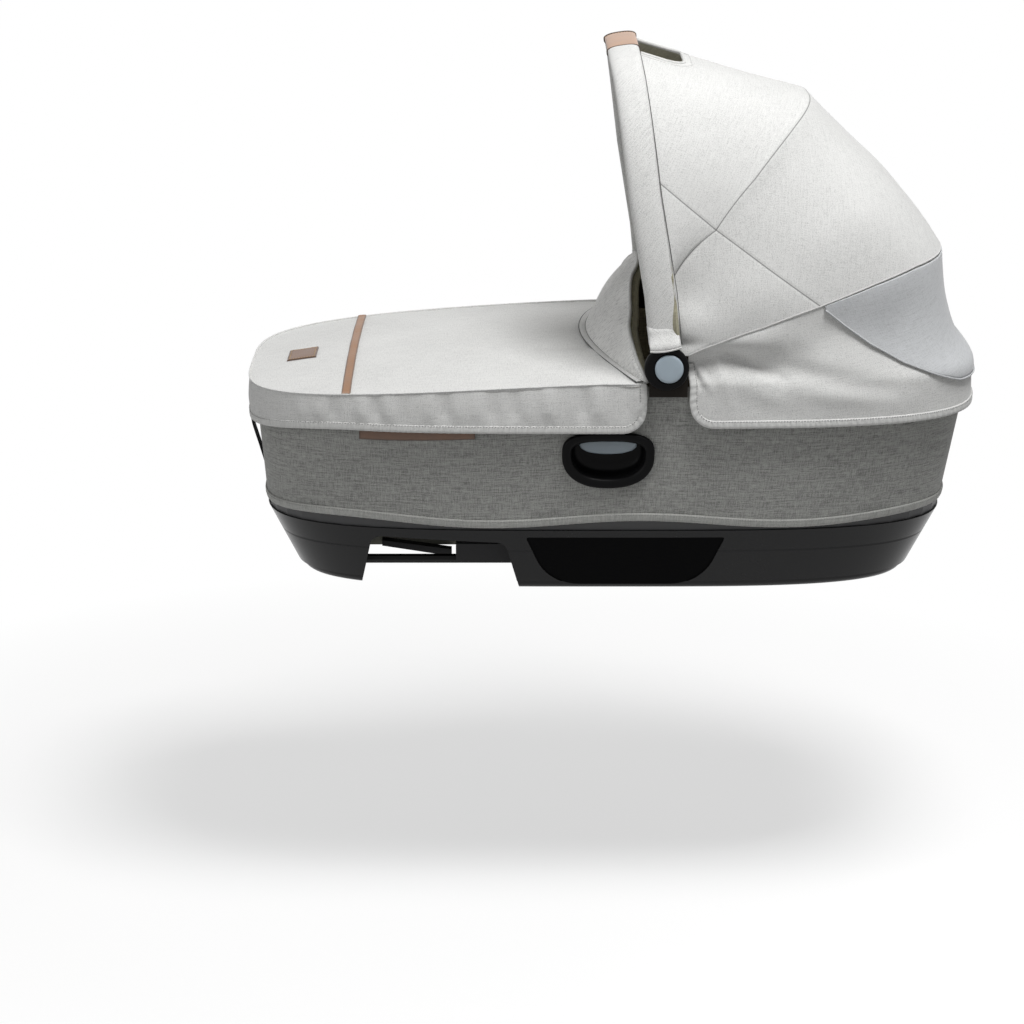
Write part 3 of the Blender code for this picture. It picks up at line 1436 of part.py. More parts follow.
# Apron: padded cover of the foot half, wind flap and leather trim
TRIM_FROM_FOOT = 114.5 * MM
TRIM_X = TRIM_FROM_FOOT - RIM_HALF_LENGTH
TRIM_WIDTH = 10 * MM
TRIM_THICKNESS = 1.2 * MM
LABEL_FROM_FOOT = 55.5 * MM
LABEL_X = LABEL_FROM_FOOT - RIM_HALF_LENGTH
LABEL_Y = -8 * MM
LABEL_LENGTH = 34 * MM
LABEL_WIDTH = 52 * MM
STRIP_FROM_FOOT = 128.5 * MM
STRIP_LENGTH = 128 * MM
STRIP_FOOT_X = STRIP_FROM_FOOT - RIM_HALF_LENGTH
STRIP_HEAD_X = STRIP_FOOT_X + STRIP_LENGTH
STRIP_DROP = 51.5 * MM
STRIP_TOP = RIM_HEIGHT - STRIP_DROP
STRIP_HEIGHT = 10 * MM
STRIP_THICKNESS = 1.4 * MM
FLAP_RISE = 101 * MM
FLAP_SIDE_RISE = 34 * MM
FLAP_THICKNESS = 3 * MM
FLAP_FREE_X = 30 * MM
APRON_TOP_SHARES = (0.985, 0.93, 0.8, 0.6, 0.38, 0.16)
STRAP_WIDTH = 18 * MM
STRAP_THICKNESS = 2 * MM
APRON_RISE = 3.3 * MM
APRON_HEM_TUCK = 0.6 * MM
FLAP_SEAM = 2 * MM
FLAP_LEAN = 14 * MM
FLAP_GATHER_SHARE = 0.1
FLAP_END_SHARE = 0.25
FLAP_LEAN_SHARE = 0.42
FLAP_STRAIGHT_SHARE = 0.14
FLAP_CREST_EXPONENT = 2.2
FLAP_END_EXPONENT = 8
FLAP_BULGE = 8 * MM
TRIM_SPAN_SHARE = 0.86
STRAP_CLEAR = 0.4 * MM
STRAP_ROUTE = (
    (96 * MM, STRAP_CLEAR), (106 * MM, STRAP_CLEAR), (130 * MM, 5.5 * MM), (150 * MM, 7 * MM),
    (161 * MM, 5.5 * MM), (168 * MM, STRAP_CLEAR), (178 * MM, STRAP_CLEAR),
)


def apron_top(x, y):
    """Height of the apron's outer surface."""
    share = max(abs(x) / APRON_HALF_LENGTH, abs(y) / APRON_HALF_WIDTH)
    radial = (abs(x) / APRON_HALF_LENGTH) ** 3 + (abs(y) / APRON_HALF_WIDTH) ** 3
    fullness = 1 - min(max(share, radial ** (1 / 3)), 1.0) ** APRON_EXPONENT
    return rim_height(x) + APRON_RISE + APRON_CROWN * fullness


def apron_hem(x):
    """Height of the apron's hem, which drops round the foot end."""
    if x > APRON_DROP_FROM:
        return APRON_HEM_HEIGHT
    share = (APRON_DROP_FROM - x) / (APRON_HALF_LENGTH + APRON_DROP_FROM)
    return APRON_HEM_HEIGHT - APRON_FOOT_DROP * share ** 2


def apron_rings(inset, drop):
    """Hem, side and top outlines of the apron at one layer."""
    rings = []
    for share, side_inset in ((0.0, inset + APRON_HEM_TUCK), (0.5, inset), (0.97, inset)):
        ring = []
        for p in superellipse(APRON_HALF_LENGTH - side_inset, APRON_HALF_WIDTH - side_inset,
                              PLAN_EXPONENT, PLAN_POINTS):
            top = rim_height(p.x) + APRON_RISE - drop
            hem = apron_hem(p.x)
            ring.append(Vector((p.x, p.y, hem + share * (top - hem))))
        rings.append(ring)
    for share in APRON_TOP_SHARES:
        ring = []
        for p in superellipse((APRON_HALF_LENGTH - inset) * share, (APRON_HALF_WIDTH - inset) * share,
                              PLAN_EXPONENT, PLAN_POINTS):
            ring.append(Vector((p.x, p.y, apron_top(p.x, p.y) - drop)))
        rings.append(ring)
    return rings


def apron_edge(y):
    """Where the wind flap is sewn to the apron, as an x for each y."""
    share = min(abs(y) / (APRON_HALF_WIDTH - FLAP_THICKNESS), 1.0)
    return APRON_FRONT_X - APRON_DIP * (1 - share ** 2)


def build_apron():
    """Apron with its drop sides, cut along the wind flap's seam."""
    outer = skin("apron", apron_rings(0.0, 0.0), melange_fabric())
    inner = apron_rings(APRON_FABRIC, APRON_FABRIC)
    floor = [Vector((p.x, p.y, p.z - OVERRUN * 2)) for p in inner[0]]
    cavity = skin("apron_cavity", [floor] + inner, None, cutter=True)
    cut(outer, cavity)
    reach = APRON_HALF_WIDTH + OVERRUN
    outline = [Vector((APRON_HALF_LENGTH + OVERRUN, -reach))]
    outline.append(Vector((APRON_HALF_LENGTH + OVERRUN, reach)))
    for step in range(EDGE_POINTS):
        y = reach - 2 * reach * step / (EDGE_POINTS - 1)
        outline.append(Vector((apron_edge(y), y)))
    head = plate("apron_head_cut", outline, 0.0, RIM_HEIGHT * 2, "Z", cutter=True)
    cut(outer, head)
    for side, tag in ((-1, "right"), (1, "left")):
        cut(outer, apron_corner(side, tag))
    build_wind_flap()
    build_apron_trim()


def apron_corner(side, tag):
    """Rounds the hem's corner of the drop side beside the hub."""
    x = APRON_FRONT_X
    z = APRON_HEM_HEIGHT
    radius = HEM_CORNER
    outline = [Vector((x + OVERRUN, z - OVERRUN)), Vector((x + OVERRUN, z + radius))]
    for step in range(CORNER_STEPS + 1):
        angle = math.pi / 2 * step / CORNER_STEPS
        outline.append(Vector((x - radius + radius * math.cos(angle), z + radius - radius * math.sin(angle))))
    outline.append(Vector((x - radius, z - OVERRUN)))
    low = side * (APRON_HALF_WIDTH - HEM_CORNER)
    return plate("apron_corner_" + tag, outline, low, side * (APRON_HALF_WIDTH + OVERRUN), "Y", cutter=True)


def build_wind_flap():
    """Raised collar along the apron's head edge."""
    layers = [wind_flap_rows(inset) for inset in (0.0, FLAP_THICKNESS)]
    quilt("wind_flap", layers[0], layers[1], melange_fabric())


def wind_flap_rows(inset):
    """Rows of the collar from its seam to its free edge."""
    rows = []
    span = APRON_HALF_WIDTH - FLAP_THICKNESS * 2
    for rise_share in FLAP_ROW_SHARES:
        row = []
        for step in range(FLAP_POINTS):
            across = -1 + 2 * step / (FLAP_POINTS - 1)
            y = span * across
            foot_x = apron_edge(y) - FLAP_SEAM
            foot = Vector((foot_x, y, apron_top(foot_x, y) + GAP * 2))
            crest = 1 - abs(across) ** FLAP_CREST_EXPONENT
            lean = math.sin(math.pi / 2 * min(abs(across) / FLAP_LEAN_SHARE, 1.0)) ** 2
            lean *= min((1 - abs(across)) / FLAP_STRAIGHT_SHARE, 1.0)
            head_x = FLAP_FREE_X - FLAP_LEAN * lean
            side_share = max(1 - abs(across) ** FLAP_END_EXPONENT, FLAP_END_SHARE)
            rise = FLAP_SIDE_RISE * side_share + (FLAP_RISE - FLAP_SIDE_RISE) * crest
            head_y = y * (1 - FLAP_GATHER_SHARE * crest)
            head = Vector((head_x, head_y, RIM_HEIGHT + APRON_RISE + GAP * 2 + rise))
            point = foot.lerp(head, rise_share)
            bow = FLAP_BULGE * math.sin(math.pi * rise_share) * crest
            row.append(point + Vector((inset - bow, 0.0, bow)))
        rows.append(row)
    return rows


def build_apron_trim():
    """Leather strip across the apron, bare label patch and side strips."""
    span = APRON_HALF_WIDTH * TRIM_SPAN_SHARE
    rows = []
    for edge in (-0.5, 0.5):
        row = []
        for step in range(EDGE_POINTS):
            y = span * (-1 + 2 * step / (EDGE_POINTS - 1))
            x = TRIM_X + edge * TRIM_WIDTH
            row.append(Vector((x, y, apron_top(x, y) + TRIM_THICKNESS + GAP * 2)))
        rows.append(row)
    below = Vector((TRIM_X, 0.0, 0.0))
    thick_sheet("trim_strip", rows, TRIM_THICKNESS, below, leather_tan())
    rows = []
    for along in (-0.5, 0.0, 0.5):
        row = []
        for across in (-0.5, 0.0, 0.5):
            x = LABEL_X + along * LABEL_LENGTH
            y = LABEL_Y + across * LABEL_WIDTH
            row.append(Vector((x, y, apron_top(x, y) + TRIM_THICKNESS + GAP * 3)))
        rows.append(row)
    thick_sheet("label_patch", rows, TRIM_THICKNESS, below, leather_brown())
    build_side_strips()
    build_strap()


def wall_point(x, z, side, stand_off):
    """A point beside the skirt's outer surface."""
    half_length, half_width = body_halves(z)
    reach = abs(x - body_middle(z)) / half_length
    y = half_width * (1 - reach ** PLAN_EXPONENT) ** (1 / PLAN_EXPONENT)
    return Vector((x, side * (y + stand_off), z))


def build_side_strips():
    """Brown leather strips on both sides, just under the apron's hem."""
    rows = []
    for level in (0.0, 1.0):
        row = []
        for step in range(STRIP_POINTS):
            x = STRIP_FOOT_X + (STRIP_HEAD_X - STRIP_FOOT_X) * step / (STRIP_POINTS - 1)
            z = STRIP_TOP - level * STRIP_HEIGHT
            row.append(wall_point(x, z, -1, STRIP_THICKNESS + GAP * 2))
        rows.append(row)
    inside = Vector((0.0, 0.0, STRIP_TOP))
    pair(thick_sheet("side_strip", rows, STRIP_THICKNESS, inside, leather_brown()))


def build_strap():
    """Webbing pull strap at the foot end, with its two sewn ends."""
    route = []
    for z, stand in STRAP_ROUTE:
        half_length = body_halves(z)[0]
        route.append(Vector((body_middle(z) - half_length - stand, z)))
    outline = route + [point + Vector((-STRAP_THICKNESS, 0.0)) for point in reversed(route)]
    plate("foot_strap", outline, -STRAP_WIDTH / 2, STRAP_WIDTH / 2, "Y", webbing_black())


def build():
    clear_scene()
    build_base()
    build_tunnel_parts()
    tub = build_tub()
    foam = build_foam()
    build_lining()
    build_bed()
    skirt = build_skirt()
    build_release()
    cut_for_release(skirt, tub, foam)
    build_bracket()
    build_hub()
    build_handle()
    build_wire_bows()
    build_canopy()
    build_apron()


build()
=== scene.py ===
"""Looks of the carrycot: fabric, leather, plastic, light and camera round the packed frame.

The head end is at +X, the left side at +Y and up is +Z. All lengths are metres.
"""
import math
from contextlib import contextmanager
from functools import wraps
from types import SimpleNamespace

import bpy
import numpy as np
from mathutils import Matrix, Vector
from mathutils.bvhtree import BVHTree


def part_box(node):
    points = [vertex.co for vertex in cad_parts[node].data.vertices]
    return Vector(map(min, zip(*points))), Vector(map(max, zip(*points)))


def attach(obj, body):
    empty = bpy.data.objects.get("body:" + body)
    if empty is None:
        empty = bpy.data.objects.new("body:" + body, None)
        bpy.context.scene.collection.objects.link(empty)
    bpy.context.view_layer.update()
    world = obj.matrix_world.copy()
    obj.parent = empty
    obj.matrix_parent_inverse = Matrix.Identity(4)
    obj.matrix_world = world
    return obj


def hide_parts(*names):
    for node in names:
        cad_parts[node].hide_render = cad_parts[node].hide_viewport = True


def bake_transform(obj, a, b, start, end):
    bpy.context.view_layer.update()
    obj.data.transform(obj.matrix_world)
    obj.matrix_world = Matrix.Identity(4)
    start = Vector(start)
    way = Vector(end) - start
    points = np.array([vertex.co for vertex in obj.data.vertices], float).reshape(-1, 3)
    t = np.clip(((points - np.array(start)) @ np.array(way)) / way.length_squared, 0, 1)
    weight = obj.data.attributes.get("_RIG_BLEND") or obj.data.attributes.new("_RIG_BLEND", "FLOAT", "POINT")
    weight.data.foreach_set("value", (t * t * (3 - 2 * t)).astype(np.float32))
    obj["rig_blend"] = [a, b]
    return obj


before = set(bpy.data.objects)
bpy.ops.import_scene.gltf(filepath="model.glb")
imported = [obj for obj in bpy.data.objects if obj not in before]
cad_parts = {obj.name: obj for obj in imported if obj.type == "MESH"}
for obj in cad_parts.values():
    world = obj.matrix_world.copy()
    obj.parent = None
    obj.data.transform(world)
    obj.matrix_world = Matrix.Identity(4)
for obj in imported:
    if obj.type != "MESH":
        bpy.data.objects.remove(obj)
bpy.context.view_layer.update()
HUB_LOW, HUB_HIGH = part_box("hub_cap_right")
CUP_LOW, CUP_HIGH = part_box("release_cup_right")

bl_info = {
    "name": "Carrycot looks",
    "version": (1, 0, 0),
    "blender": (4, 5, 0),
    "location": "3D View > Sidebar > Carrycot",
    "description": "Dresses the packed carrycot in fabric, leather and plastic",
    "category": "Object",
}

Float = bpy.props.FloatProperty
FloatVector = bpy.props.FloatVectorProperty


def length(name, description, default):
    """A size in metres that a user may change."""
    return Float(name=name, description=description, default=default, unit="LENGTH", precision=4)


def tone(name, description, default):
    """A colour that a user may change."""
    return FloatVector(name=name, description=description, default=default, size=3, subtype="COLOR",
                       min=0.0, max=1.0)


class CarrycotBody(bpy.types.PropertyGroup):
    """Sizes of the tub, its skirt and the base under it."""

    rim_half_length: length("Rim half length", "Half of the tub's length at its rim", 0.4095)
    rim_half_width: length("Rim half width", "Half of the tub's width at its rim", 0.2155)
    rim_height: length("Rim height", "Height of the rim beside the hubs", 0.2465)
    rim_drop: length("Rim drop", "How far the rim falls toward the foot end", 0.024)
    rim_level_from: length("Level rim from", "Where the rim starts to fall", -0.010)
    lip_half_length: length("Lip half length", "Half of the base's length at its lip", 0.387)
    lip_half_width: length("Lip half width", "Half of the base's width at its lip", 0.191)
    lip_height: length("Lip height", "Height of the base's lip", 0.076)
    floor_half_length: length("Floor half length", "Half of the base's length on the floor", 0.350)
    floor_half_width: length("Floor half width", "Half of the base's width on the floor", 0.163)
    set_back: length("Set back", "How far the base sits toward the foot end", 0.0075)
    hem_height: length("Hem height", "Mean height of the skirt's hem", 0.0855)
    hem_wave: length("Hem wave", "How far the hem rises and falls", 0.0045)
    binding: length("Binding", "Width of the bound hems", 0.009)


class CarrycotCanopy(bpy.types.PropertyGroup):
    """Sizes of the canopy, its bows and its sleeves."""

    hub_x: length("Hub place", "Where the hubs are along the body", (HUB_LOW.x + HUB_HIGH.x) / 2)
    hub_z: length("Hub height", "Height of the hubs' middle", (HUB_LOW.z + HUB_HIGH.z) / 2)
    handle_half_width: length("Handle half width", "Half of the carry handle's width", 0.2147)
    handle_reach: length("Handle reach", "From the hubs to the handle's top", 0.3283)
    handle_breadth: length("Handle breadth", "Breadth of the handle's flat tube", 0.030)
    handle_thickness: length("Handle thickness", "Thickness of the handle's flat tube", 0.008)
    mid_half_width: length("Middle bow half width", "Half of the middle bow's width", 0.2062)
    mid_reach: length("Middle bow reach", "From the hubs to the middle bow's top", 0.3095)
    rear_half_width: length("Rear bow half width", "Half of the rear bow's width", 0.2175)
    rear_reach: length("Rear bow reach", "From the hubs to the rear bow's middle", 0.3275)
    hem_height: length("Hem height", "Height of the canopy's hem", 0.2015)
    half_length: length("Hem half length", "Half of the hem's length", 0.4115)
    half_width: length("Hem half width", "Half of the hem's width", 0.2205)
    front_x: length("Hem front", "Where the hem starts beside the hubs", 0.082)
    fabric: length("Fabric", "Thickness of the canopy's fabric", 0.0015)


class CarrycotApron(bpy.types.PropertyGroup):
    """Sizes of the apron, its wind flap and its trim."""

    half_length: length("Half length", "Half of the apron's full length", 0.4125)
    half_width: length("Half width", "Half of the apron's width", 0.2198)
    hem_height: length("Hem height", "Height of the apron's hem", 0.1955)
    foot_drop: length("Foot drop", "How far the hem falls round the foot end", 0.015)
    drop_from: length("Drop from", "Where the hem starts to fall", -0.280)
    front_x: length("Front", "Where the apron ends beside the hubs", 0.034)
    dip: length("Dip", "How far the flap's seam bows toward the foot end", 0.060)
    crown: length("Crown", "How far the padded top rises", 0.015)
    fabric: length("Fabric", "Thickness of the apron's fabric", 0.0024)
    rise: length("Rise", "How far the apron's edge stands over the rim", 0.0033)


class CarrycotFinish(bpy.types.PropertyGroup):
    """Colours of the carrycot's materials."""

    melange: tone("Melange", "Pale fabric of canopy and apron", (0.675, 0.675, 0.662))
    linen: tone("Linen", "Grey fabric of the skirt", (0.325, 0.327, 0.312))
    lining: tone("Lining", "Khaki fabric inside", (0.150, 0.130, 0.085))
    binding: tone("Binding", "Pale hem tapes", (0.65, 0.65, 0.635))
    tan: tone("Tan leather", "Grip and strip across the apron", (0.25, 0.115, 0.045))
    brown: tone("Brown leather", "Strips on the sides", (0.150, 0.080, 0.048))
    black: tone("Black plastic", "Base, hubs and cups", (0.012, 0.012, 0.013))
    accent: tone("Accent", "Buttons and levers", (0.25, 0.30, 0.34))


GROUPS = (
    ("carrycot_body", CarrycotBody),
    ("carrycot_canopy", CarrycotCanopy),
    ("carrycot_apron", CarrycotApron),
    ("carrycot_finish", CarrycotFinish),
)
PLAN_EXPONENT = 3.7
BOW_EXPONENT = 2.8
RIM_EXPONENT = 1.2
HANDLE_ANGLE = math.radians(98.3)
MID_ANGLE = math.radians(58.5)
SIDES = ((-1, "right"), (1, "left"))


def plain(name):
    """One property group as plain numbers, which are quicker to read."""
    group = getattr(bpy.context.scene, name)
    return SimpleNamespace(**{key: getattr(group, key) for key in group.__annotations__})


# Outlines of the body

def power(value, exponent):
    return np.sign(value) * np.abs(value) ** exponent


def unit(vectors):
    """Vectors of length one, along the last axis."""
    return vectors / np.linalg.norm(vectors, axis=-1, keepdims=True)


def spots(x, y, z):
    """Points from their three coordinates."""
    return np.stack(np.broadcast_arrays(x, y, z), axis=-1)


def along(points):
    """Running length along the first axis of a run of points."""
    steps = np.linalg.norm(np.diff(points, axis=0), axis=-1)
    return np.concatenate([np.zeros((1,) + steps.shape[1:]), np.cumsum(steps, axis=0)])


def ways_along(points):
    """Directions along a run of points."""
    return unit(np.gradient(points, axis=0))


def read_line(places, run, points):
    """Points of a line at some running lengths."""
    return np.stack([np.interp(places, run, points[:, k]) for k in range(3)], axis=1)


def evened(line, times):
    """A line drawn toward the middle of its neighbours, with its ends held."""
    for _ in range(times):
        line[1:-1] = (line[:-2] + 2 * line[1:-1] + line[2:]) / 4
    return line


def table(pairs, values):
    """Read a table of pairs at some values."""
    first, second = zip(*pairs)
    return np.interp(values, first, second)


def plan(half_length, half_width, turns):
    """Points of the rounded plan outline at some turns from the head end."""
    x = half_length * power(np.cos(turns), 2 / PLAN_EXPONENT)
    y = half_width * power(np.sin(turns), 2 / PLAN_EXPONENT)
    return x, y


def even_turns(curve, first, last, count):
    """Turns that space points evenly along a curve."""
    turns = np.linspace(first, last, 4001)
    run = along(np.array(curve(turns)).T)
    return np.interp(np.linspace(0.0, run[-1], count), run, turns)


def body_turns(b, count):
    """Turns that space points evenly round the rim."""
    return even_turns(lambda t: plan(b.rim_half_length, b.rim_half_width, t), 0.0, math.tau, count)


def rim_height(b, x):
    share = np.clip((b.rim_level_from - x) / (b.rim_half_length + b.rim_level_from), 0.0, 1.0)
    return b.rim_height - b.rim_drop * share ** RIM_EXPONENT


def body_halves(b, z):
    """Half length and half width of the body's outside at some heights."""
    z = np.asarray(z, float)
    low = np.clip(z / b.lip_height, 0.0, 1.0)
    high = np.clip((z - b.lip_height) / (b.rim_height - b.lip_height), 0.0, 1.0)
    half_length = np.where(z <= b.lip_height,
                           b.floor_half_length + (b.lip_half_length - b.floor_half_length) * low,
                           b.lip_half_length + (b.rim_half_length - b.lip_half_length) * high)
    half_width = np.where(z <= b.lip_height,
                          b.floor_half_width + (b.lip_half_width - b.floor_half_width) * low,
                          b.lip_half_width + (b.rim_half_width - b.lip_half_width) * high)
    return half_length, half_width


def body_middle(b, z):
    """Middle of the body along its length, further back under the rim."""
    share = np.clip((np.asarray(z, float) - b.lip_height) / (b.rim_height - b.lip_height), 0.0, 1.0)
    return -b.set_back * (1 - share)


def side_depth(b, x, z):
    """How far the body's side stands out at a place along it."""
    half_length, half_width = body_halves(b, z)
    share = np.clip(np.abs(x - body_middle(b, z)) / half_length, 0.0, 0.9999)
    return half_width * (1 - share ** PLAN_EXPONENT) ** (1 / PLAN_EXPONENT)


def wall(b, turns, height_at, out=0.0):
    """The body's outline where its height changes along its length."""
    z = np.full_like(turns, b.rim_height)
    for _ in range(4):
        half_length, half_width = body_halves(b, z)
        x, y = plan(half_length + out, half_width + out, turns)
        x = x + body_middle(b, z)
        z = height_at(x)
    return np.stack([x, y, z], axis=-1)


def hem_line(b, x):
    """Height of the skirt's waving hem."""
    return b.hem_height + b.hem_wave * np.cos(math.tau * (x - 0.030) / 0.340)


# Making pieces

def clear_selection():
    bpy.ops.object.select_all(action="DESELECT")


def activate(item):
    clear_selection()
    item.select_set(True)
    bpy.context.view_layer.objects.active = item


def apply_modifiers(item):
    activate(item)
    for modifier in list(item.modifiers):
        bpy.ops.object.modifier_apply(modifier=modifier.name)


@contextmanager
def editing(item):
    """Edit mode on one piece."""
    activate(item)
    bpy.ops.object.mode_set(mode="EDIT")
    yield
    bpy.ops.object.mode_set(mode="OBJECT")


def face_out():
    """Turn every face of the edited piece outward."""
    bpy.ops.mesh.select_all(action="SELECT")
    bpy.ops.mesh.normals_make_consistent(inside=False)


def select_open_edges():
    bpy.ops.mesh.select_all(action="DESELECT")
    bpy.ops.mesh.select_non_manifold()


def cap_ends(item):
    """Close the open ends of a tube and point its faces outward."""
    with editing(item):
        select_open_edges()
        bpy.ops.mesh.fill_holes(sides=0)
        face_out()


def read(elements, key, width=3):
    """One property of all of a mesh's vertices, corners or faces."""
    values = np.zeros(len(elements) * width)
    elements.foreach_get(key, values)
    return values.reshape(-1, width)


def write(elements, key, values):
    elements.foreach_set(key, values.astype(np.float32).ravel())


def corner_vertices(item):
    """The vertex of each of the mesh's corners."""
    corners = np.zeros(len(item.data.loops), np.int32)
    item.data.loops.foreach_get("vertex_index", corners)
    return corners


def outward(item, inside):
    """Turn the faces away from a point."""
    arms = read(item.data.polygons, "center") - np.array(inside)
    if (arms * read(item.data.polygons, "normal")).sum() < 0:
        item.data.flip_normals()


def closed(rings):
    """Rings of points that end where they start."""
    return np.concatenate([rings, rings[:, :1]], axis=1)


def stand_out(rows, amount):
    """Move rows of points away from the body's middle, in place."""
    rows[..., :2] += unit(rows[..., :2]) * amount[..., None]


def sheet_mesh(name, points, inside, thickness=0.0, wrap=False, smooth=180.0, materials=(), marks=None):
    """A grid primitive laid over rows of points, then thickened inward."""
    rows, columns = points.shape[:2]
    clear_selection()
    bpy.ops.mesh.primitive_grid_add(x_subdivisions=columns - 1, y_subdivisions=rows - 1, size=2)
    item = bpy.context.object
    item.name = name
    item.data.name = name
    write(item.data.vertices, "co", points)
    middle = rows // 2
    run = along(points[middle])
    rise = along(points)
    rise = rise - rise[middle]
    flat = np.stack([np.broadcast_to(run, (rows, columns)), rise], axis=-1).reshape(-1, 2)
    write(item.data.uv_layers[0].data, "uv", flat[corner_vertices(item)])
    for label, values in (marks or {}).items():
        layer = item.data.attributes.new(label, "FLOAT", "POINT")
        write(layer.data, "value", np.broadcast_to(values, (rows, columns)))
    for material in materials:
        item.data.materials.append(material)
    item.data.update()
    if wrap:
        with editing(item):
            bpy.ops.mesh.select_all(action="SELECT")
            bpy.ops.mesh.remove_doubles(threshold=1e-6)
    outward(item, inside)
    if thickness:
        thicken(item, thickness, len(materials) > 1)
    finish_shading(item, smooth)
    return item


def solid(name, rings, smooth=180.0, marks=None):
    """A closed piece from rings of points, with both ends capped."""
    item = sheet_mesh(name, rings, rings.mean((0, 1)), wrap=True, marks=marks)
    cap_ends(item)
    finish_shading(item, smooth)
    return item


def thicken(item, thickness, lined=False):
    """Give a sheet its thickness on the inner side, with a lining there."""
    shell = item.modifiers.new("thickness", "SOLIDIFY")
    shell.thickness = thickness
    shell.offset = -1.0
    if lined:
        shell.material_offset = 1
    apply_modifiers(item)


def finish_shading(item, angle):
    activate(item)
    if angle >= 180.0:
        bpy.ops.object.shade_smooth()
    else:
        bpy.ops.object.shade_smooth_by_angle(angle=math.radians(angle))


def set_material(item, material):
    item.data.materials.clear()
    item.data.materials.append(material)


def finish(item, body, *nodes, slot):
    """Body and stand-ins of a piece that already has its materials. The slot is not used."""
    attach(item, body)
    if nodes:
        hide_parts(*nodes)
    return item


def dress(item, body, material, *nodes, slot):
    """Give a piece its material, its body and the nodes it stands for. The slot is not used."""
    set_material(item, material)
    return finish(item, body, *nodes, slot=slot)


def paint(node_name, material):
    """Give a CAD node a finished material."""
    set_material(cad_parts[node_name], material)


def mirror_copy(item, name):
    """The same piece on the other side, with its own mesh."""
    twin = item.copy()
    twin.data = item.data.copy()
    twin.name = name
    twin.data.name = name
    bpy.context.scene.collection.objects.link(twin)
    write(twin.data.vertices, "co", read(twin.data.vertices, "co") * np.array([1.0, -1.0, 1.0]))
    twin.data.flip_normals()
    twin.data.update()
    return twin


def rounded_bar(half_breadth, half_thickness, radius, steps=5):
    """Section of a flat bar with rounded corners, as offsets."""
    points = []
    for number, (sx, sy) in enumerate(((1, -1), (1, 1), (-1, 1), (-1, -1))):
        start = -math.pi / 2 + number * math.pi / 2
        for step in range(steps + 1):
            angle = start + math.pi / 2 * step / steps
            points.append((sx * (half_breadth - radius) + radius * math.cos(angle),
                           sy * (half_thickness - radius) + radius * math.sin(angle)))
    return points


def cord_line(name, points, radius, sides=6, out_hint=(0.0, -1.0, 0.0)):
    """A thin round line, such as piping or a seam, along some points."""
    points = np.array(points, float)
    tangents = ways_along(points)
    ups = np.cross(tangents, np.broadcast_to(np.array(out_hint, float), points.shape))
    ups /= np.maximum(np.linalg.norm(ups, axis=1)[:, None], 1e-9)
    outs = np.cross(ups, tangents)
    turns = np.arange(sides) * math.tau / sides
    rings = (points[:, None] + radius * np.cos(turns)[None, :, None] * outs[:, None]
             + radius * np.sin(turns)[None, :, None] * ups[:, None])
    item = sheet_mesh(name, closed(rings), points.mean(0), wrap=True)
    cap_ends(item)
    finish_shading(item, 180.0)
    return item


STITCH_PITCH = 0.0032
STITCH_LENGTH = 0.0022
STITCH_RADIUS = 0.00035
STITCH_SHAPE = ((-0.5, 0.35), (-0.25, 1.0), (0.25, 1.0), (0.5, 0.35))


def stitch_row(name, points, normals):
    """Small thread capsules along a line, as one mesh."""
    points = np.array(points, float)
    run = along(points)
    places = np.arange(STITCH_PITCH / 2, run[-1], STITCH_PITCH)
    normals = np.broadcast_to(np.array(normals, float), points.shape)
    directions = unit(read_line(places, run, ways_along(points)))
    outs = unit(read_line(places, run, normals))
    sides = np.cross(directions, outs)
    shape = []
    for share, swell in STITCH_SHAPE:
        for k in range(4):
            angle = math.tau * k / 4
            shape.append((share * STITCH_LENGTH, swell * STITCH_RADIUS * math.cos(angle),
                          swell * STITCH_RADIUS * math.sin(angle)))
    shape = np.array(shape)[None]
    vertices = (read_line(places, run, points)[:, None] + shape[..., :1] * directions[:, None]
                + shape[..., 1:2] * outs[:, None] + shape[..., 2:] * sides[:, None]).reshape(-1, 3)
    pattern = [(4 * ring + k, 4 * ring + (k + 1) % 4, 4 * ring + (k + 1) % 4 + 4, 4 * ring + k + 4)
               for ring in range(3) for k in range(4)]
    pattern = np.array(pattern + [(3, 2, 1, 0), (12, 13, 14, 15)])
    faces = (pattern[None] + 16 * np.arange(len(places))[:, None, None]).reshape(-1, 4)
    mesh = bpy.data.meshes.new(name)
    mesh.from_pydata(vertices.tolist(), [], faces.tolist())
    mesh.validate()
    item = bpy.data.objects.new(name, mesh)
    bpy.context.scene.collection.objects.link(item)
    with editing(item):
        face_out()
    finish_shading(item, 180.0)
    return item


# Materials

def once(kind):
    """Find a material or a node group by its name before its maker runs."""
    def wrap(maker):
        @wraps(maker)
        def find(name, *values, **choices):
            return getattr(bpy.data, kind).get(name) or maker(name, *values, **choices)
        return find
    return wrap


def new_material(name):
    material = bpy.data.materials.new(name)
    material.use_nodes = True
    tree = material.node_tree
    return material, tree, tree.nodes["Principled BSDF"]


def feed(tree, socket, value):
    """Link an output to a socket, or set the socket to a number or a colour."""
    if isinstance(value, bpy.types.NodeSocket):
        tree.links.new(value, socket)
    elif isinstance(value, (int, float)):
        socket.default_value = value
    else:
        socket.default_value = (*value, 1.0) if socket.type == "RGBA" else tuple(value)


def feed_all(tree, made, values):
    for label, value in values.items():
        feed(tree, made.inputs[label], value)


def node(tree, kind, values=None):
    """A shader node with some of its inputs linked or set."""
    made = tree.nodes.new("ShaderNode" + kind)
    feed_all(tree, made, values or {})
    return made


def object_place(tree):
    return node(tree, "TexCoord").outputs["Object"]


def group_node(tree, group, values):
    made = tree.nodes.new("ShaderNodeGroup")
    made.node_tree = group
    feed_all(tree, made, values)
    return made


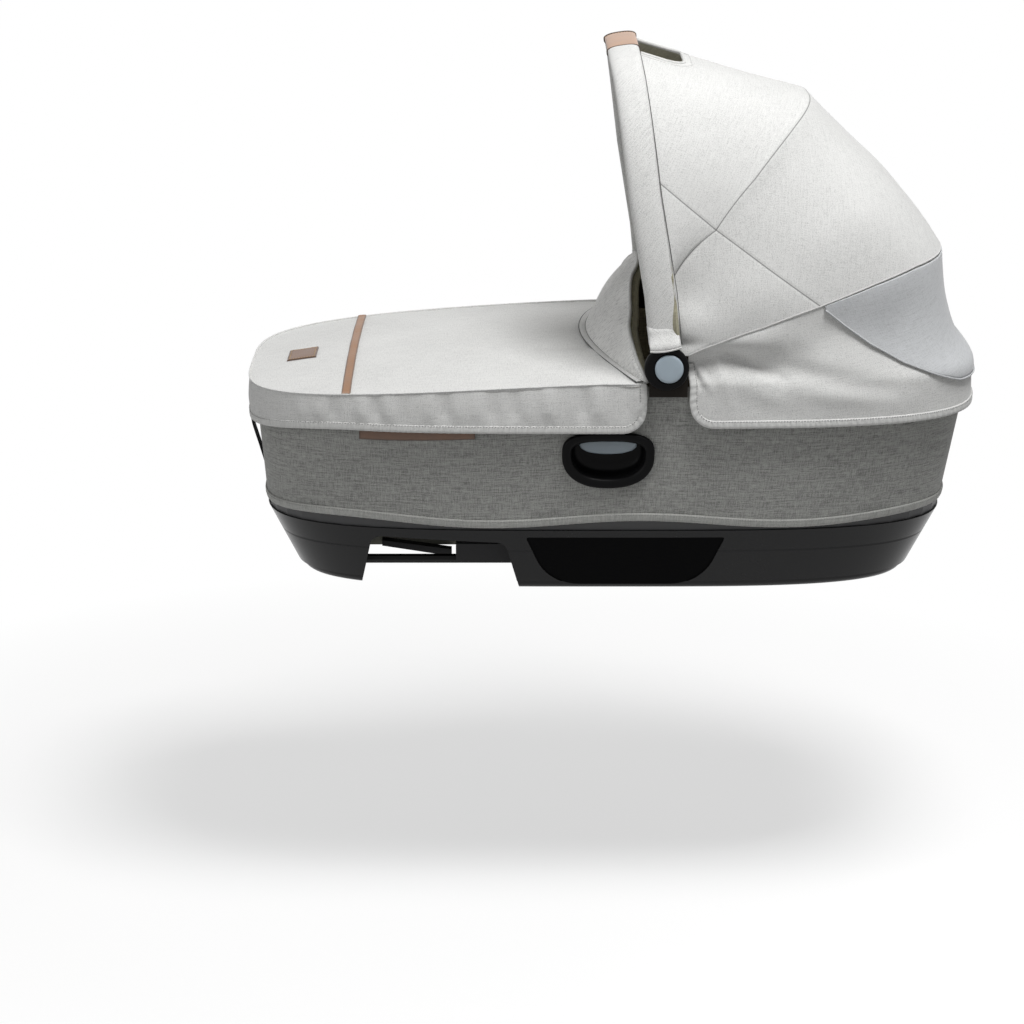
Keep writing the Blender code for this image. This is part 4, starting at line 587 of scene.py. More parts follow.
def raised(tree, height, strength, distance):
    """A normal with bumps from a height."""
    values = {"Strength": strength, "Distance": distance, "Height": height}
    return node(tree, "Bump", values).outputs["Normal"]


def group_tree(name, inputs, outputs):
    """A shader node group with named sockets."""
    tree = bpy.data.node_groups.new(name, "ShaderNodeTree")
    for label, kind, default in inputs:
        socket = tree.interface.new_socket(name=label, in_out="INPUT", socket_type=kind)
        if default is not None:
            socket.default_value = default
    for label, kind in outputs:
        tree.interface.new_socket(name=label, in_out="OUTPUT", socket_type=kind)
    start = tree.nodes.new("NodeGroupInput")
    end = tree.nodes.new("NodeGroupOutput")
    return tree, start, end


def math_node(tree, operation, first, second=None, clamp=False):
    made = tree.nodes.new("ShaderNodeMath")
    made.operation = operation
    made.use_clamp = clamp
    for slot, value in enumerate((first, second)):
        if value is not None:
            feed(tree, made.inputs[slot], value)
    return made.outputs[0]


def noise(tree, vector, scale, detail=3.0, roughness=0.6):
    values = {"Scale": scale, "Detail": detail, "Roughness": roughness, "Vector": vector}
    return node(tree, "TexNoise", values).outputs["Fac"]


def mapped(tree, vector, scale):
    return node(tree, "Mapping", {"Scale": scale, "Vector": vector}).outputs["Vector"]


def mixed(tree, share, first, second):
    made = tree.nodes.new("ShaderNodeMix")
    made.data_type = "RGBA"
    feed_all(tree, made, {0: share, 6: first, 7: second})
    return made.outputs[2]


def scaled_up(tree, value, factor, start):
    """A value times a factor, added to a start."""
    return math_node(tree, "ADD", math_node(tree, "MULTIPLY", value, factor), start)


STREAKS = (("Weft", (90.0, 820.0, 1.0), 2.0), ("Warp", (820.0, 90.0, 1.0), 2.0), ("Slub", (22.0, 480.0, 1.0), 1.0),
           ("Fleck", (820.0, 820.0, 820.0), 2.0), ("Cloud", (9.0, 9.0, 9.0), 4.0))


@once("node_groups")
def threads_group(name):
    """Crossed threads with slubs and flecks: a colour and a height."""
    amounts = (("Turn", 0.0), ("Weft", 1.0), ("Warp", 1.0), ("Slub", 0.5), ("Fleck", 0.5), ("Cloud", 0.3))
    greys = (("Base", 0.5), ("Dark", 0.3), ("Pale", 0.8))
    tree, start, end = group_tree(
        name,
        [("Vector", "NodeSocketVector", None)]
        + [(label, "NodeSocketFloat", value) for label, value in amounts]
        + [(label, "NodeSocketColor", (value, value, value, 1.0)) for label, value in greys],
        [("Color", "NodeSocketColor"), ("Height", "NodeSocketFloat")],
    )
    turned = tree.nodes.new("ShaderNodeVectorRotate")
    turned.rotation_type = "Z_AXIS"
    tree.links.new(start.outputs["Vector"], turned.inputs["Vector"])
    tree.links.new(start.outputs["Turn"], turned.inputs["Angle"])
    place = turned.outputs["Vector"]

    def streak(scale, detail, amount):
        """Noise drawn out along one thread direction, centred on zero."""
        value = math_node(tree, "SUBTRACT", noise(tree, mapped(tree, place, scale), 1.0, detail), 0.5)
        return math_node(tree, "MULTIPLY", value, amount)

    total = 0.0
    for label, scale, detail in STREAKS:
        total = math_node(tree, "ADD", total, streak(scale, detail, start.outputs[label]))
    dark = math_node(tree, "MULTIPLY", total, -3.0, clamp=True)
    pale = math_node(tree, "MULTIPLY", total, 3.0, clamp=True)
    colour = mixed(tree, dark, start.outputs["Base"], start.outputs["Dark"])
    colour = mixed(tree, pale, colour, start.outputs["Pale"])
    tree.links.new(colour, end.inputs["Color"])
    tree.links.new(total, end.inputs["Height"])
    return tree


@once("node_groups")
def seam_group(name):
    """A seam where a signed distance crosses zero: a mask of painted shade along its line, and a groove."""
    tree, start, end = group_tree(
        name,
        [("Distance", "NodeSocketFloat", 1.0), ("Thread", "NodeSocketFloat", 0.0010),
         ("Groove", "NodeSocketFloat", 0.0030)],
        [("Line", "NodeSocketFloat"), ("Dip", "NodeSocketFloat")],
    )
    gap = math_node(tree, "ABSOLUTE", start.outputs["Distance"])
    for label, width in (("Line", "Thread"), ("Dip", "Groove")):
        feed(tree, end.inputs[label], near_zero(tree, gap, start.outputs[width]))
    return tree


def near_zero(tree, gap, width):
    """One on a line, falling to nothing at a width from it."""
    return math_node(tree, "SUBTRACT", 1.0, math_node(tree, "DIVIDE", gap, width), clamp=True)


def shade(colour, factor):
    return tuple(min(value * factor, 1.0) for value in colour)


@once("materials")
def fabric(name, base, dark, pale, weft=1.0, warp=1.0, slub=0.5, fleck=0.5, cloud=0.3, turn=0.0,
           bump=0.3, rough=0.92, seams=(), turned_by=None):
    """Woven fabric on the piece's own UV map, which is in metres."""
    material, tree, shader = new_material(name)
    if turned_by:
        turn = math_node(tree, "MULTIPLY", math_node(tree, "GREATER_THAN", attribute(tree, turned_by), 0.0), 0.70)
    weave = group_node(tree, threads_group("threads"), {
        "Vector": node(tree, "UVMap").outputs["UV"], "Turn": turn, "Weft": weft, "Warp": warp, "Slub": slub,
        "Fleck": fleck, "Cloud": cloud, "Base": base, "Dark": dark, "Pale": pale})
    colour, height = weave.outputs["Color"], weave.outputs["Height"]
    # Each seam darkens the colour along its line: painted shade of the seam's groove, and a dip in the bump.
    for label in seams:
        seam = group_node(tree, seam_group("seam_shade_line"), {"Distance": attribute(tree, label)})
        line = math_node(tree, "MULTIPLY", seam.outputs["Line"], 0.95)
        colour = mixed(tree, line, colour, shade(base, 0.22))
        height = math_node(tree, "SUBTRACT", height, math_node(tree, "MULTIPLY", seam.outputs["Dip"], 2.5))
    feed_all(tree, shader, {
        "Base Color": colour, "Normal": raised(tree, height, bump, 0.0006), "Roughness": rough,
        "Sheen Weight": 0.15, "Sheen Roughness": 0.5, "Specular IOR Level": 0.2})
    return material


def attribute(tree, label):
    made = tree.nodes.new("ShaderNodeAttribute")
    made.attribute_name = label
    return made.outputs["Fac"]


def melange(colours, name="pale_melange", **choices):
    """Pale fabric of mixed yarns."""
    values = dict(weft=0.5, warp=0.5, slub=0.25, fleck=1.2, cloud=0.3, bump=0.3)
    values.update(choices)
    return fabric(name, colours.melange, shade(colours.melange, 0.70), shade(colours.melange, 1.12), **values)


def flap_melange_painted_shade():
    # Cooler and darker than the melange: partly the flap's own grey, partly painted shade, since the lamps light this
    # flap too brightly.
    grey = (0.530, 0.541, 0.552)
    return fabric("flap_fabric", grey, shade(grey, 0.70), shade(grey, 1.12), weft=0.5, warp=0.5, slub=0.3,
                  fleck=0.8, cloud=0.3, turn=0.3, bump=0.22)


def flap_weave(colours):
    # The melange lightened 1.3 times: painted light on the wind flap, which faces away from the key lamp.
    pale = shade(colours.melange, 1.30)
    return fabric("flap_weave", pale, shade(pale, 0.62), shade(pale, 1.08), weft=1.5, warp=0.5, slub=0.3,
                  fleck=0.8, turn=0.9, bump=0.4)


def canopy_melange(colours):
    return melange(colours, "canopy_fabric", seams=("seam_a", "seam_b"), turned_by="seam_b")


def sleeve_melange(colours):
    return melange(colours, "sleeve_fabric", weft=0.7, warp=0.3, fleck=1.4, turn=0.75, bump=0.4)


def linen(colours):
    return fabric("grey_linen", colours.linen, shade(colours.linen, 0.58), shade(colours.linen, 1.36),
                  weft=1.0, warp=1.0, slub=0.6, fleck=0.9, cloud=0.25, bump=0.35)


def binding_tape(colours):
    return fabric("binding_tape", colours.binding, shade(colours.binding, 0.78), shade(colours.binding, 1.15),
                  weft=0.3, warp=0.7, slub=0.1, fleck=0.5, bump=0.15)


def grey_tape(colours):
    return fabric("grey_tape", shade(colours.linen, 1.30), shade(colours.linen, 0.85), shade(colours.linen, 1.7),
                  weft=0.4, warp=0.8, slub=0.2, fleck=0.5, bump=0.2)


def lining(colours):
    return fabric("khaki_lining", colours.lining, shade(colours.lining, 0.65), shade(colours.lining, 1.35),
                  weft=1.0, warp=1.0, slub=0.5, fleck=0.8)


def canopy_lining():
    # Khaki more than twice as light as the lining colour: painted light on the canopy's inside, which the lamps leave
    # in shade.
    khaki = (0.35, 0.33, 0.24)
    return fabric("canopy_lining", khaki, shade(khaki, 0.7), shade(khaki, 1.25))


def piping_fabric(colours):
    return melange(colours, "piping_fabric", weft=0.3, warp=0.6)


@once("materials")
def thread(name, colour):
    """Sewing thread, with its twist as a fine change of tone."""
    material, tree, shader = new_material(name)
    grain = noise(tree, object_place(tree), 2500.0, 2.0)
    colour = mixed(tree, grain, shade(colour, 0.8), shade(colour, 1.15))
    feed_all(tree, shader, {"Base Color": colour, "Roughness": 0.7})
    return material


def dark_thread(colours):
    # A near-black cord laid along a seam: painted shade of the gap between the panels.
    return thread("dark_thread", shade(colours.melange, 0.15))


def pale_thread(colours):
    return thread("pale_thread", shade(colours.melange, 0.42))


def tan_thread():
    return thread("tan_thread", (0.5, 0.36, 0.2))


@once("materials")
def leather(name, colour):
    """Leather with a fine grain, darker where the edge attribute nears zero."""
    material, tree, shader = new_material(name)
    place = object_place(tree)
    cells = node(tree, "TexVoronoi", {"Scale": 900.0, "Vector": place})
    blotch = noise(tree, place, 60.0, 4.0)
    grain = noise(tree, place, 1400.0, 2.0)
    tinted = mixed(tree, blotch, shade(colour, 0.75), shade(colour, 1.25))
    worn = near_zero(tree, attribute(tree, "edge"), 0.0022)
    height = math_node(tree, "ADD", cells.outputs["Distance"], grain)
    feed_all(tree, shader, {
        "Base Color": mixed(tree, worn, tinted, shade(colour, 0.38)),
        "Normal": raised(tree, height, 0.3, 0.0003), "Roughness": scaled_up(tree, blotch, 0.2, 0.32)})
    return material


def brown_leather(colours):
    return leather("brown_leather", colours.brown)


@once("materials")
def plastic(name, colour, rough, bump=0.04, gleam=0.5):
    """Moulded plastic with a fine grain and uneven gloss."""
    material, tree, shader = new_material(name)
    place = object_place(tree)
    grain = noise(tree, place, 700.0, 2.0)
    haze = noise(tree, place, 14.0, 3.0)
    feed_all(tree, shader, {
        "Base Color": mixed(tree, haze, shade(colour, 0.85), shade(colour, 1.2)),
        "Normal": raised(tree, grain, bump, 0.0002), "Roughness": scaled_up(tree, haze, 0.1, rough - 0.05),
        "Specular IOR Level": gleam})
    return material


@once("materials")
def metal(name, colour, rough):
    """Steel with fine drawing marks."""
    material, tree, shader = new_material(name)
    marks = noise(tree, mapped(tree, object_place(tree), (60.0, 900.0, 900.0)), 1.0, 2.0)
    feed_all(tree, shader, {
        "Base Color": mixed(tree, marks, shade(colour, 0.85), shade(colour, 1.1)),
        "Roughness": scaled_up(tree, marks, 0.15, rough), "Metallic": 1.0})
    return material


@once("materials")
def quilt_cover(name):
    """White mattress cover with a fine dimpled knit."""
    material, tree, shader = new_material(name)
    place = object_place(tree)
    cells = node(tree, "TexVoronoi", {"Scale": 110.0, "Vector": place})
    knit = noise(tree, place, 900.0, 3.0)
    feed_all(tree, shader, {
        "Base Color": mixed(tree, knit, (0.70, 0.70, 0.68), (0.80, 0.80, 0.785)),
        "Normal": raised(tree, scaled_up(tree, knit, 0.4, cells.outputs["Distance"]), 0.4, 0.0012),
        "Roughness": 0.9, "Sheen Weight": 0.2})
    return material


def dark_steel():
    return metal("tube_finish", (0.02, 0.02, 0.02), 0.35)


def spring_steel():
    return metal("spring_steel", (0.45, 0.45, 0.46), 0.3)


def base_plastic(colours):
    return plastic("base_plastic", shade(colours.black, 0.55), 0.24, gleam=0.22)


def panel_plastic(colours):
    return plastic("panel_plastic", shade(colours.black, 0.2), 0.65, bump=0.12, gleam=0.03)


def matte_plastic(colours):
    return plastic("matte_plastic", shade(colours.black, 0.8), 0.5, bump=0.12, gleam=0.25)


def hub_plastic(colours):
    return plastic("hub_plastic", shade(colours.black, 0.28), 0.38, bump=0.08, gleam=0.07)


def accent_plastic(colours, name="accent_plastic", factor=0.92):
    # The factor makes lit and shaded copies: the button's 1.35 is painted light for its reflection, the lever's 0.92
    # slight painted shade of its recess.
    return plastic(name, shade(colours.accent, factor), 0.26, bump=0.03, gleam=0.5)


# Base and skirt

TUNNEL_CORNERS = ((-0.2870, 0.0), (-0.0990, 0.0), (-0.1200, 0.0600), (-0.2690, 0.0660))
PANEL_CORNERS = ((-0.0710, 0.0060), (0.0990, 0.0060), (0.1250, 0.0670), (-0.0970, 0.0670))
BRACE_CORNERS = ((-0.2620, 0.0250), (-0.1820, 0.0124), (-0.1820, 0.0205), (-0.2620, 0.0315))
TUNNEL_RADII = (0.0002, 0.0002, 0.014, 0.014)
PANEL_RADII = (0.052, 0.052, 0.002, 0.002)
BASE_ROUNDING = 0.009
PARTING_SHARES = ((0.640, 0.0), (0.655, -0.0006), (0.668, -0.0006), (0.680, 0.0))


def ring_rows(b, heights, out, count):
    """Rows of points round the body at several heights."""
    turns = body_turns(b, count)
    return np.array([wall(b, turns, height, out) for height in heights])


def rounded_outline(corners, radii, steps=8):
    """A polygon with its corners rounded, as a list of points."""
    points = []
    corners = [Vector(corner) for corner in corners]
    for index, corner in enumerate(corners):
        before = (corners[index - 1] - corner).normalized()
        after = (corners[(index + 1) % len(corners)] - corner).normalized()
        half = before.angle(after) / 2
        radius = radii[index]
        start = corner + before * (radius / math.tan(half))
        stop = corner + after * (radius / math.tan(half))
        centre = corner + (before + after).normalized() * (radius / math.sin(half))
        for step in range(steps + 1):
            point = start.lerp(stop, step / steps) - centre
            points.append(centre + point.normalized() * radius)
    return points


def prism(name, outline, low_y, high_y, smooth=180.0):
    """A side-view outline drawn out across the body."""
    return solid(name, closed(np.array([[(p.x, y, p.y) for p in outline] for y in (low_y, high_y)])), smooth)


def cut(item, cutter):
    """Take a closed cutter away from a piece, and drop the cutter."""
    modifier = item.modifiers.new("cut", "BOOLEAN")
    modifier.object = cutter
    modifier.solver = "EXACT"
    apply_modifiers(item)
    bpy.data.objects.remove(cutter, do_unlink=True)


def base_block(b, name, inset, low, high, parting=False):
    """A solid block with the base's outside, its lower edge rounded."""
    turns = body_turns(b, 241)
    half_length, half_width = body_halves(b, low)
    rows = []
    for step in range(0 if inset else 7):
        angle = math.pi / 2 * step / 6
        back = BASE_ROUNDING * (1 - math.sin(angle))
        x, y = plan(half_length - back, half_width - back, turns)
        rows.append(spots(x - b.set_back, y, low + BASE_ROUNDING * (1 - math.cos(angle))))
    levels = [(share, 0.0) for share in np.linspace(0.0 if inset else 0.13, 1.0, 22)]
    if parting:
        levels = sorted(levels + list(PARTING_SHARES))
    for share, out in levels:
        z = low + share * (high - low)
        half_length, half_width = body_halves(b, z)
        x, y = plan(half_length - inset + out, half_width - inset + out, turns)
        rows.append(spots(x + body_middle(b, z), y, z))
    item = sheet_mesh(name, np.array(rows), (0.0, 0.0, (low + high) / 2), wrap=True)
    cap_ends(item)
    return item


class CARRYCOT_OT_base(bpy.types.Operator):
    """Make the base tray and its side panels, and dress what crosses the tunnel."""

    bl_idname = "carrycot.base"
    bl_label = "Base"

    def execute(self, context):
        b = plain("carrycot_body")
        colours = plain("carrycot_finish")
        self.make_tray(b, colours)
        self.make_panels(b, colours)
        outline = [Vector(corner) for corner in BRACE_CORNERS]
        for side, tag in SIDES:
            near, far = sorted((side * 0.0640, side * 0.0770))
            link = prism("brace_" + tag, outline, near, far, 40.0)
            dress(link, "root", matte_plastic(colours), "brace_link_" + tag, slot="panel_black")
        for side, tag in SIDES:
            paint("base_rail_" + tag, dark_steel())
            paint("rail_block_" + tag, matte_plastic(colours))
            paint("adaptor_socket_" + tag, matte_plastic(colours))
            paint("latch_bar_" + tag, spring_steel())
        # The channel's olive is lightened: painted light on its face under the tunnel, which the base wall shades.
        paint("support_channel", plastic("channel_plastic", (0.150, 0.150, 0.118), 0.55, bump=0.1))
        return {"FINISHED"}

    def make_tray(self, b, colours):
        """Hollow tray with the arched tunnel and the panels' pockets."""
        tray = base_block(b, "base_tray", 0.0, 0.0, 0.0760, parting=True)
        hollow = base_block(b, "hollow", 0.0035, 0.0035, 0.0900)
        cut(hollow, self.tunnel_block("tunnel_wall", 0.003))
        cut(tray, hollow)
        cut(tray, self.tunnel_block("tunnel", 0.0))
        for side, tag in SIDES:
            cut(tray, self.panel_pocket(b, side))
        finish_shading(tray, 35.0)
        dress(tray, "root", base_plastic(colours), "base_shell", slot="shell_black")

    def tunnel_block(self, name, grow):
        """The tunnel's form across the whole base, grown for the wall over it."""
        middle = -0.2
        corners = [(x + math.copysign(grow, x - middle), z + grow if z else -0.02) for x, z in TUNNEL_CORNERS]
        return prism(name, rounded_outline(corners, TUNNEL_RADII), -0.3, 0.3)

    def panel_grid(self, b, side, depth, grow=0.0, rows=34, columns=60):
        """Points of the side panel's face, at a depth under the base's side."""
        corners = [(x + math.copysign(grow, x), z + (grow if z > 0.03 else -grow)) for x, z in PANEL_CORNERS]
        outline = rounded_outline(corners, PANEL_RADII, 14)
        xs = np.array([p.x for p in outline])
        zs = np.array([p.y for p in outline])
        middle = (PANEL_CORNERS[0][0] + PANEL_CORNERS[1][0]) / 2
        levels = zs.min() + (zs.max() - zs.min()) * (1 - np.cos(np.linspace(0.0, math.pi, rows))) / 2
        left = xs < middle
        ends = []
        for half in (left, ~left):
            order = np.argsort(zs[half])
            ends.append(np.interp(levels, zs[half][order], xs[half][order]))
        grid = []
        for z, first, last in zip(levels, *ends):
            x = np.linspace(first, last, columns)
            grid.append(spots(x, side * (side_depth(b, x, np.full_like(x, z)) - depth), z))
        return np.array(grid)

    def panel_pocket(self, b, side):
        """Closed block that takes the panel's recess out of the tray."""
        inner = self.panel_grid(b, side, 0.0014, 0.0003)
        outer = self.panel_grid(b, side, -0.006, 0.0003)
        item = sheet_mesh("pocket", inner, (0.0, side, 0.03))
        other = sheet_mesh("pocket_face", outer, (0.0, 0.0, 0.03))
        activate(item)
        other.select_set(True)
        bpy.ops.object.join()
        with editing(item):
            select_open_edges()
            bpy.ops.mesh.bridge_edge_loops()
            face_out()
        return item

    def make_panels(self, b, colours):
        for side, tag in SIDES:
            item = sheet_mesh("side_panel_" + tag, self.panel_grid(b, side, 0.0011), (0.0, 0.0, 0.03))
            dress(item, "root", panel_plastic(colours), "base_side_panel_" + tag, slot="panel_black")


HEM_PROFILE = ((0.0006, 0.0086), (0.0013, 0.0082), (0.0016, 0.0060), (0.0016, 0.0030), (0.0012, 0.0004),
               (0.0003, -0.0010), (-0.0010, -0.0010), (-0.0018, 0.0002), (-0.0020, 0.0040))
STRIP_PROFILE = ((0.0, 0.0004), (0.04, 0.0014), (0.16, 0.0019), (0.5, 0.0020), (0.9, 0.0019), (1.0, 0.0012))
STRIP_TOP = 0.1945
STRAP_ROUTE = ((0.094, 0.0012), (0.100, 0.0016), (0.110, 0.0035), (0.120, 0.0055), (0.130, 0.0075),
               (0.140, 0.0097), (0.150, 0.0118), (0.160, 0.0130), (0.166, 0.0110), (0.171, 0.0076),
               (0.176, 0.0030), (0.184, 0.0012))


class CARRYCOT_OT_skirt(bpy.types.Operator):
    """Make the linen skirt with its bound hem, stitches and strips."""

    bl_idname = "carrycot.skirt"
    bl_label = "Skirt"

    def execute(self, context):
        b = plain("carrycot_body")
        colours = plain("carrycot_finish")
        shares = np.linspace(0.0, 1.0, 40)
        heights = [lambda x, s=s: hem_line(b, x) + 0.0004 + s * (rim_height(b, x) - 0.0004 - hem_line(b, x))
                   for s in shares]
        rows = ring_rows(b, heights, -0.0002, 481)
        run = along(rows[0])
        drag = np.sin(run * 41 + 2 * np.sin(run * 13)) * 0.5 + np.sin(run * 97 + 1.7) * 0.3
        stand_out(rows, 0.0007 * np.exp(-shares / 0.18)[:, None] * drag[None, :])
        item = sheet_mesh("skirt", rows, (0.0, 0.0, 0.15), 0.0014, wrap=True)
        for side, tag in SIDES:
            cut(item, cup_slab("cup_opening_" + tag, side, 0.0075, -0.020, 0.020))
        finish_shading(item, 60.0)
        dress(item, "root", linen(colours), "side_skirt", slot="linen_fabric")
        edging = self.make_binding(b, colours) + self.make_strips(b, colours)
        cloth(item, "stretched", "tub", with_pieces=edging)
        self.make_strap(b, colours)
        return {"FINISHED"}

    def make_binding(self, b, colours):
        """Flat folded tape round the hem, with small puckers."""
        turns = body_turns(b, 721)
        rows = []
        for out, up in HEM_PROFILE:
            row = wall(b, turns, lambda x: hem_line(b, x) + up - 0.0010, out)
            run = run if rows else along(row)
            stand_out(row, 0.00035 * np.sin(run * 900 + 3 * np.sin(run * 63) + up * 300))
            rows.append(row)
        rows.append(rows[0].copy())
        item = sheet_mesh("hem_binding", np.array(rows), (0.0, 0.0, 0.09), wrap=True)
        dress(item, "root", grey_tape(colours), "skirt_binding", slot="linen_fabric")
        line = wall(b, turns, lambda x: hem_line(b, x) + 0.0056, 0.0017)
        normals = np.concatenate([line[:, :2] / np.array([[4.0, 1.0]]), np.zeros((len(line), 1))], axis=1)
        stitches = stitch_row("hem_stitches", line, normals)
        dress(stitches, "root", thread("grey_thread", shade(colours.linen, 0.8)), slot="linen_fabric")
        return [item, stitches]

    def make_strips(self, b, colours):
        """Brown leather strips on the sides, under the apron's hem."""
        x = np.linspace(-0.281, -0.153, 61)
        share = (x - x[0]) / (x[-1] - x[0])
        low = 0.1815 + 0.0035 * share ** 2
        strips = []
        for side, tag in SIDES:
            rows = []
            edges = []
            for up, out in STRIP_PROFILE:
                z = low + up * (STRIP_TOP - low)
                rows.append(spots(x, side * (side_depth(b, x, z) + out), z))
                edges.append(np.full_like(x, 0.0096 * min(up, 1 - up)))
            edges = np.minimum(np.array(edges), np.minimum(x - x[0], x[-1] - x)[None])
            name = "side_strip_" + tag
            item = sheet_mesh(name + "_leather", np.array(rows), (-0.2, 0.0, 0.19), marks={"edge": edges})
            dress(item, "root", brown_leather(colours), name, slot="leather_brown")
            strips.append(item)
        return strips

    def make_strap(self, b, colours):
        """Webbing pull strap that stands off the foot end."""
        z, out = np.array(STRAP_ROUTE).T
        heights = np.linspace(z[0], z[-1], 49)
        stand = evened(np.interp(heights, z, out), 3)
        rings = []
        for height, away in zip(heights, stand):
            end = float(body_middle(b, height) - body_halves(b, height)[0])
            rings.append([(end - away - t, y, height) for y, t in rounded_bar(0.009, 0.0010, 0.0008, 3)])
        item = solid("foot_strap_webbing", closed(np.array(rings)), 50.0)
        webbing = fabric("webbing", shade(colours.black, 0.9), shade(colours.black, 0.5), shade(colours.black, 1.8),
                         weft=2.5, warp=0.5, fleck=0.3, bump=0.5, rough=0.75)
        dress(item, "root", webbing, "foot_strap", slot="webbing_black")


def cup_frame(b):
    """Middle of the right cup, and its outward and upward directions."""
    cup_z = 0.1685
    tilt = math.atan2(b.rim_half_width - b.lip_half_width, b.rim_height - b.lip_height)
    middle = Vector(((CUP_LOW.x + CUP_HIGH.x) / 2, -float(body_halves(b, cup_z)[1]), cup_z))
    outward_way = Vector((0.0, -math.cos(tilt), -math.sin(tilt)))
    upward_way = Vector((0.0, -math.sin(tilt), math.cos(tilt)))
    return middle, outward_way, upward_way


def d_outline(half_width, up, down, count=96):
    """A rounded D: a flatter top over a deeper round bottom."""
    points = []
    for step in range(count):
        turn = math.tau * step / count
        cosine, sine = math.cos(turn), math.sin(turn)
        exponent, height = (3.0, up) if sine > 0 else (2.3, down)
        points.append((half_width * math.copysign(abs(cosine) ** (2 / exponent), cosine),
                       height * math.copysign(abs(sine) ** (2 / exponent), sine)))
    return points


def d_rings(b, side, profile, half_width=0.051, up_size=0.026, down=0.040, rise=0.0):
    """Rings of D outlines: each profile step shrinks and stands out."""
    middle, out, up = cup_frame(b)
    rings = []
    for shrink, stand in profile:
        ring = [middle + Vector((x, 0.0, 0.0)) + up * (z + rise) + out * stand
                for x, z in d_outline(half_width - shrink, up_size - shrink, down - shrink)]
        rings.append([(p.x, p.y if side < 0 else -p.y, p.z) for p in ring])
    return closed(np.array(rings))


def cup_slab(name, side, shrink, low, high):
    """A D-shaped slab across the wall at one cup; depths count outward."""
    return solid(name, d_rings(plain("carrycot_body"), side, ((shrink, low), (shrink, high))))


def lathe(name, centre, profile, shift=0.0):
    """A turned part on an axis across the body; y counts outward and the rim may sit off centre."""
    side = -1 if centre[1] < 0 else 1
    turns = np.linspace(0.0, math.tau, 73)
    largest = max(radius for radius, y in profile)
    rings = [spots(centre[0] + radius * np.cos(turns) + shift * np.clip(radius / largest * 3 - 2, 0, 1),
                   side * y, centre[2] + radius * np.sin(turns)) for radius, y in profile]
    return solid(name, np.array(rings), 40.0)


HUB_PROFILE = ((0.0243, 0.2230), (0.0245, 0.2262), (0.0243, 0.2284), (0.0236, 0.2300), (0.0223, 0.2311),
               (0.0205, 0.2315), (0.0180, 0.2315), (0.0168, 0.2312), (0.0162, 0.2304), (0.0162, 0.2252))
PRESS_PROFILE = ((0.0156, 0.2288), (0.0156, 0.2312), (0.0153, 0.2320), (0.0145, 0.2326), (0.0125, 0.2329),
                 (0.0080, 0.23305), (0.0030, 0.2331))
CUP_PROFILE = ((0.0000, 0.0012), (0.0000, 0.0042), (0.0008, 0.0056), (0.0025, 0.0062), (0.0060, 0.0060),
               (0.0088, 0.0050), (0.0104, 0.0032), (0.0110, 0.0000), (0.0114, -0.0080), (0.0128, -0.0140),
               (0.0165, -0.0164), (0.0215, -0.0170))
LEVER_PROFILE = ((0.0004, -0.0088), (0.0000, -0.0080), (0.0000, -0.0058), (0.0007, -0.0049), (0.0022, -0.0044),
                 (0.0050, -0.0042))


class CARRYCOT_OT_hubs(bpy.types.Operator):
    """Make the hubs, the release cups and their levers."""

    bl_idname = "carrycot.hubs"
    bl_label = "Hubs and cups"

    def execute(self, context):
        b = plain("carrycot_body")
        c = plain("carrycot_canopy")
        colours = plain("carrycot_finish")
        for side, tag in SIDES:
            self.make_hub(c, colours, side, tag)
            self.make_cup(b, colours, side, tag)
            bracket = plastic("bracket_plastic", (0.010, 0.008, 0.006), 0.5, bump=0.1, gleam=0.1)
            paint("hub_bracket_" + tag, bracket)
            for piece in ("hub_pin_", "button_spring_", "lever_pin_", "lever_spring_"):
                paint(piece + tag, spring_steel())
        return {"FINISHED"}

    def make_hub(self, c, colours, side, tag):
        """Turned cap with a seat round its domed press button."""
        centre = (c.hub_x, side * 0.23, c.hub_z)
        cap = lathe("hub_disc_" + tag, centre, HUB_PROFILE, shift=-0.0026)
        dress(cap, "root", hub_plastic(colours), "hub_cap_" + tag, slot="hub_black")
        button = lathe("hub_press_" + tag, centre, PRESS_PROFILE)
        name = "hub_button_" + tag
        # The button's copy of the accent plastic is 1.35 times lighter: painted light.
        dress(button, name, accent_plastic(colours, "button_plastic", 1.35), name, slot="accent_blue_grey")

    def make_cup(self, b, colours, side, tag):
        """Flanged grip recess and the curved lever inside its top."""
        rings = d_rings(b, side, CUP_PROFILE)
        middle = rings[-1].mean(0)
        rings = np.concatenate([rings, np.broadcast_to(middle, (1,) + rings[-1].shape)], axis=0)
        item = sheet_mesh("grip_cup_" + tag, rings, (middle[0], 0.0, middle[2]), wrap=True, smooth=50.0)
        self.face_flange_out(item, side)
        dress(item, "root", hub_plastic(colours), "release_cup_" + tag, slot="shell_black")
        item = solid("grip_lever_" + tag, d_rings(b, side, LEVER_PROFILE, 0.0318, 0.006, 0.012, 0.009), 40.0)
        name = "release_lever_" + tag
        dress(item, name, accent_plastic(colours), name, slot="accent_blue_grey")

    def face_flange_out(self, item, side):
        """Turn an open shell so that its flange faces away from the body."""
        faces = item.data.polygons
        if (read(faces, "normal")[:, 1] * read(faces, "area", 1)[:, 0]).sum() * side < 0:
            item.data.flip_normals()


# Canopy

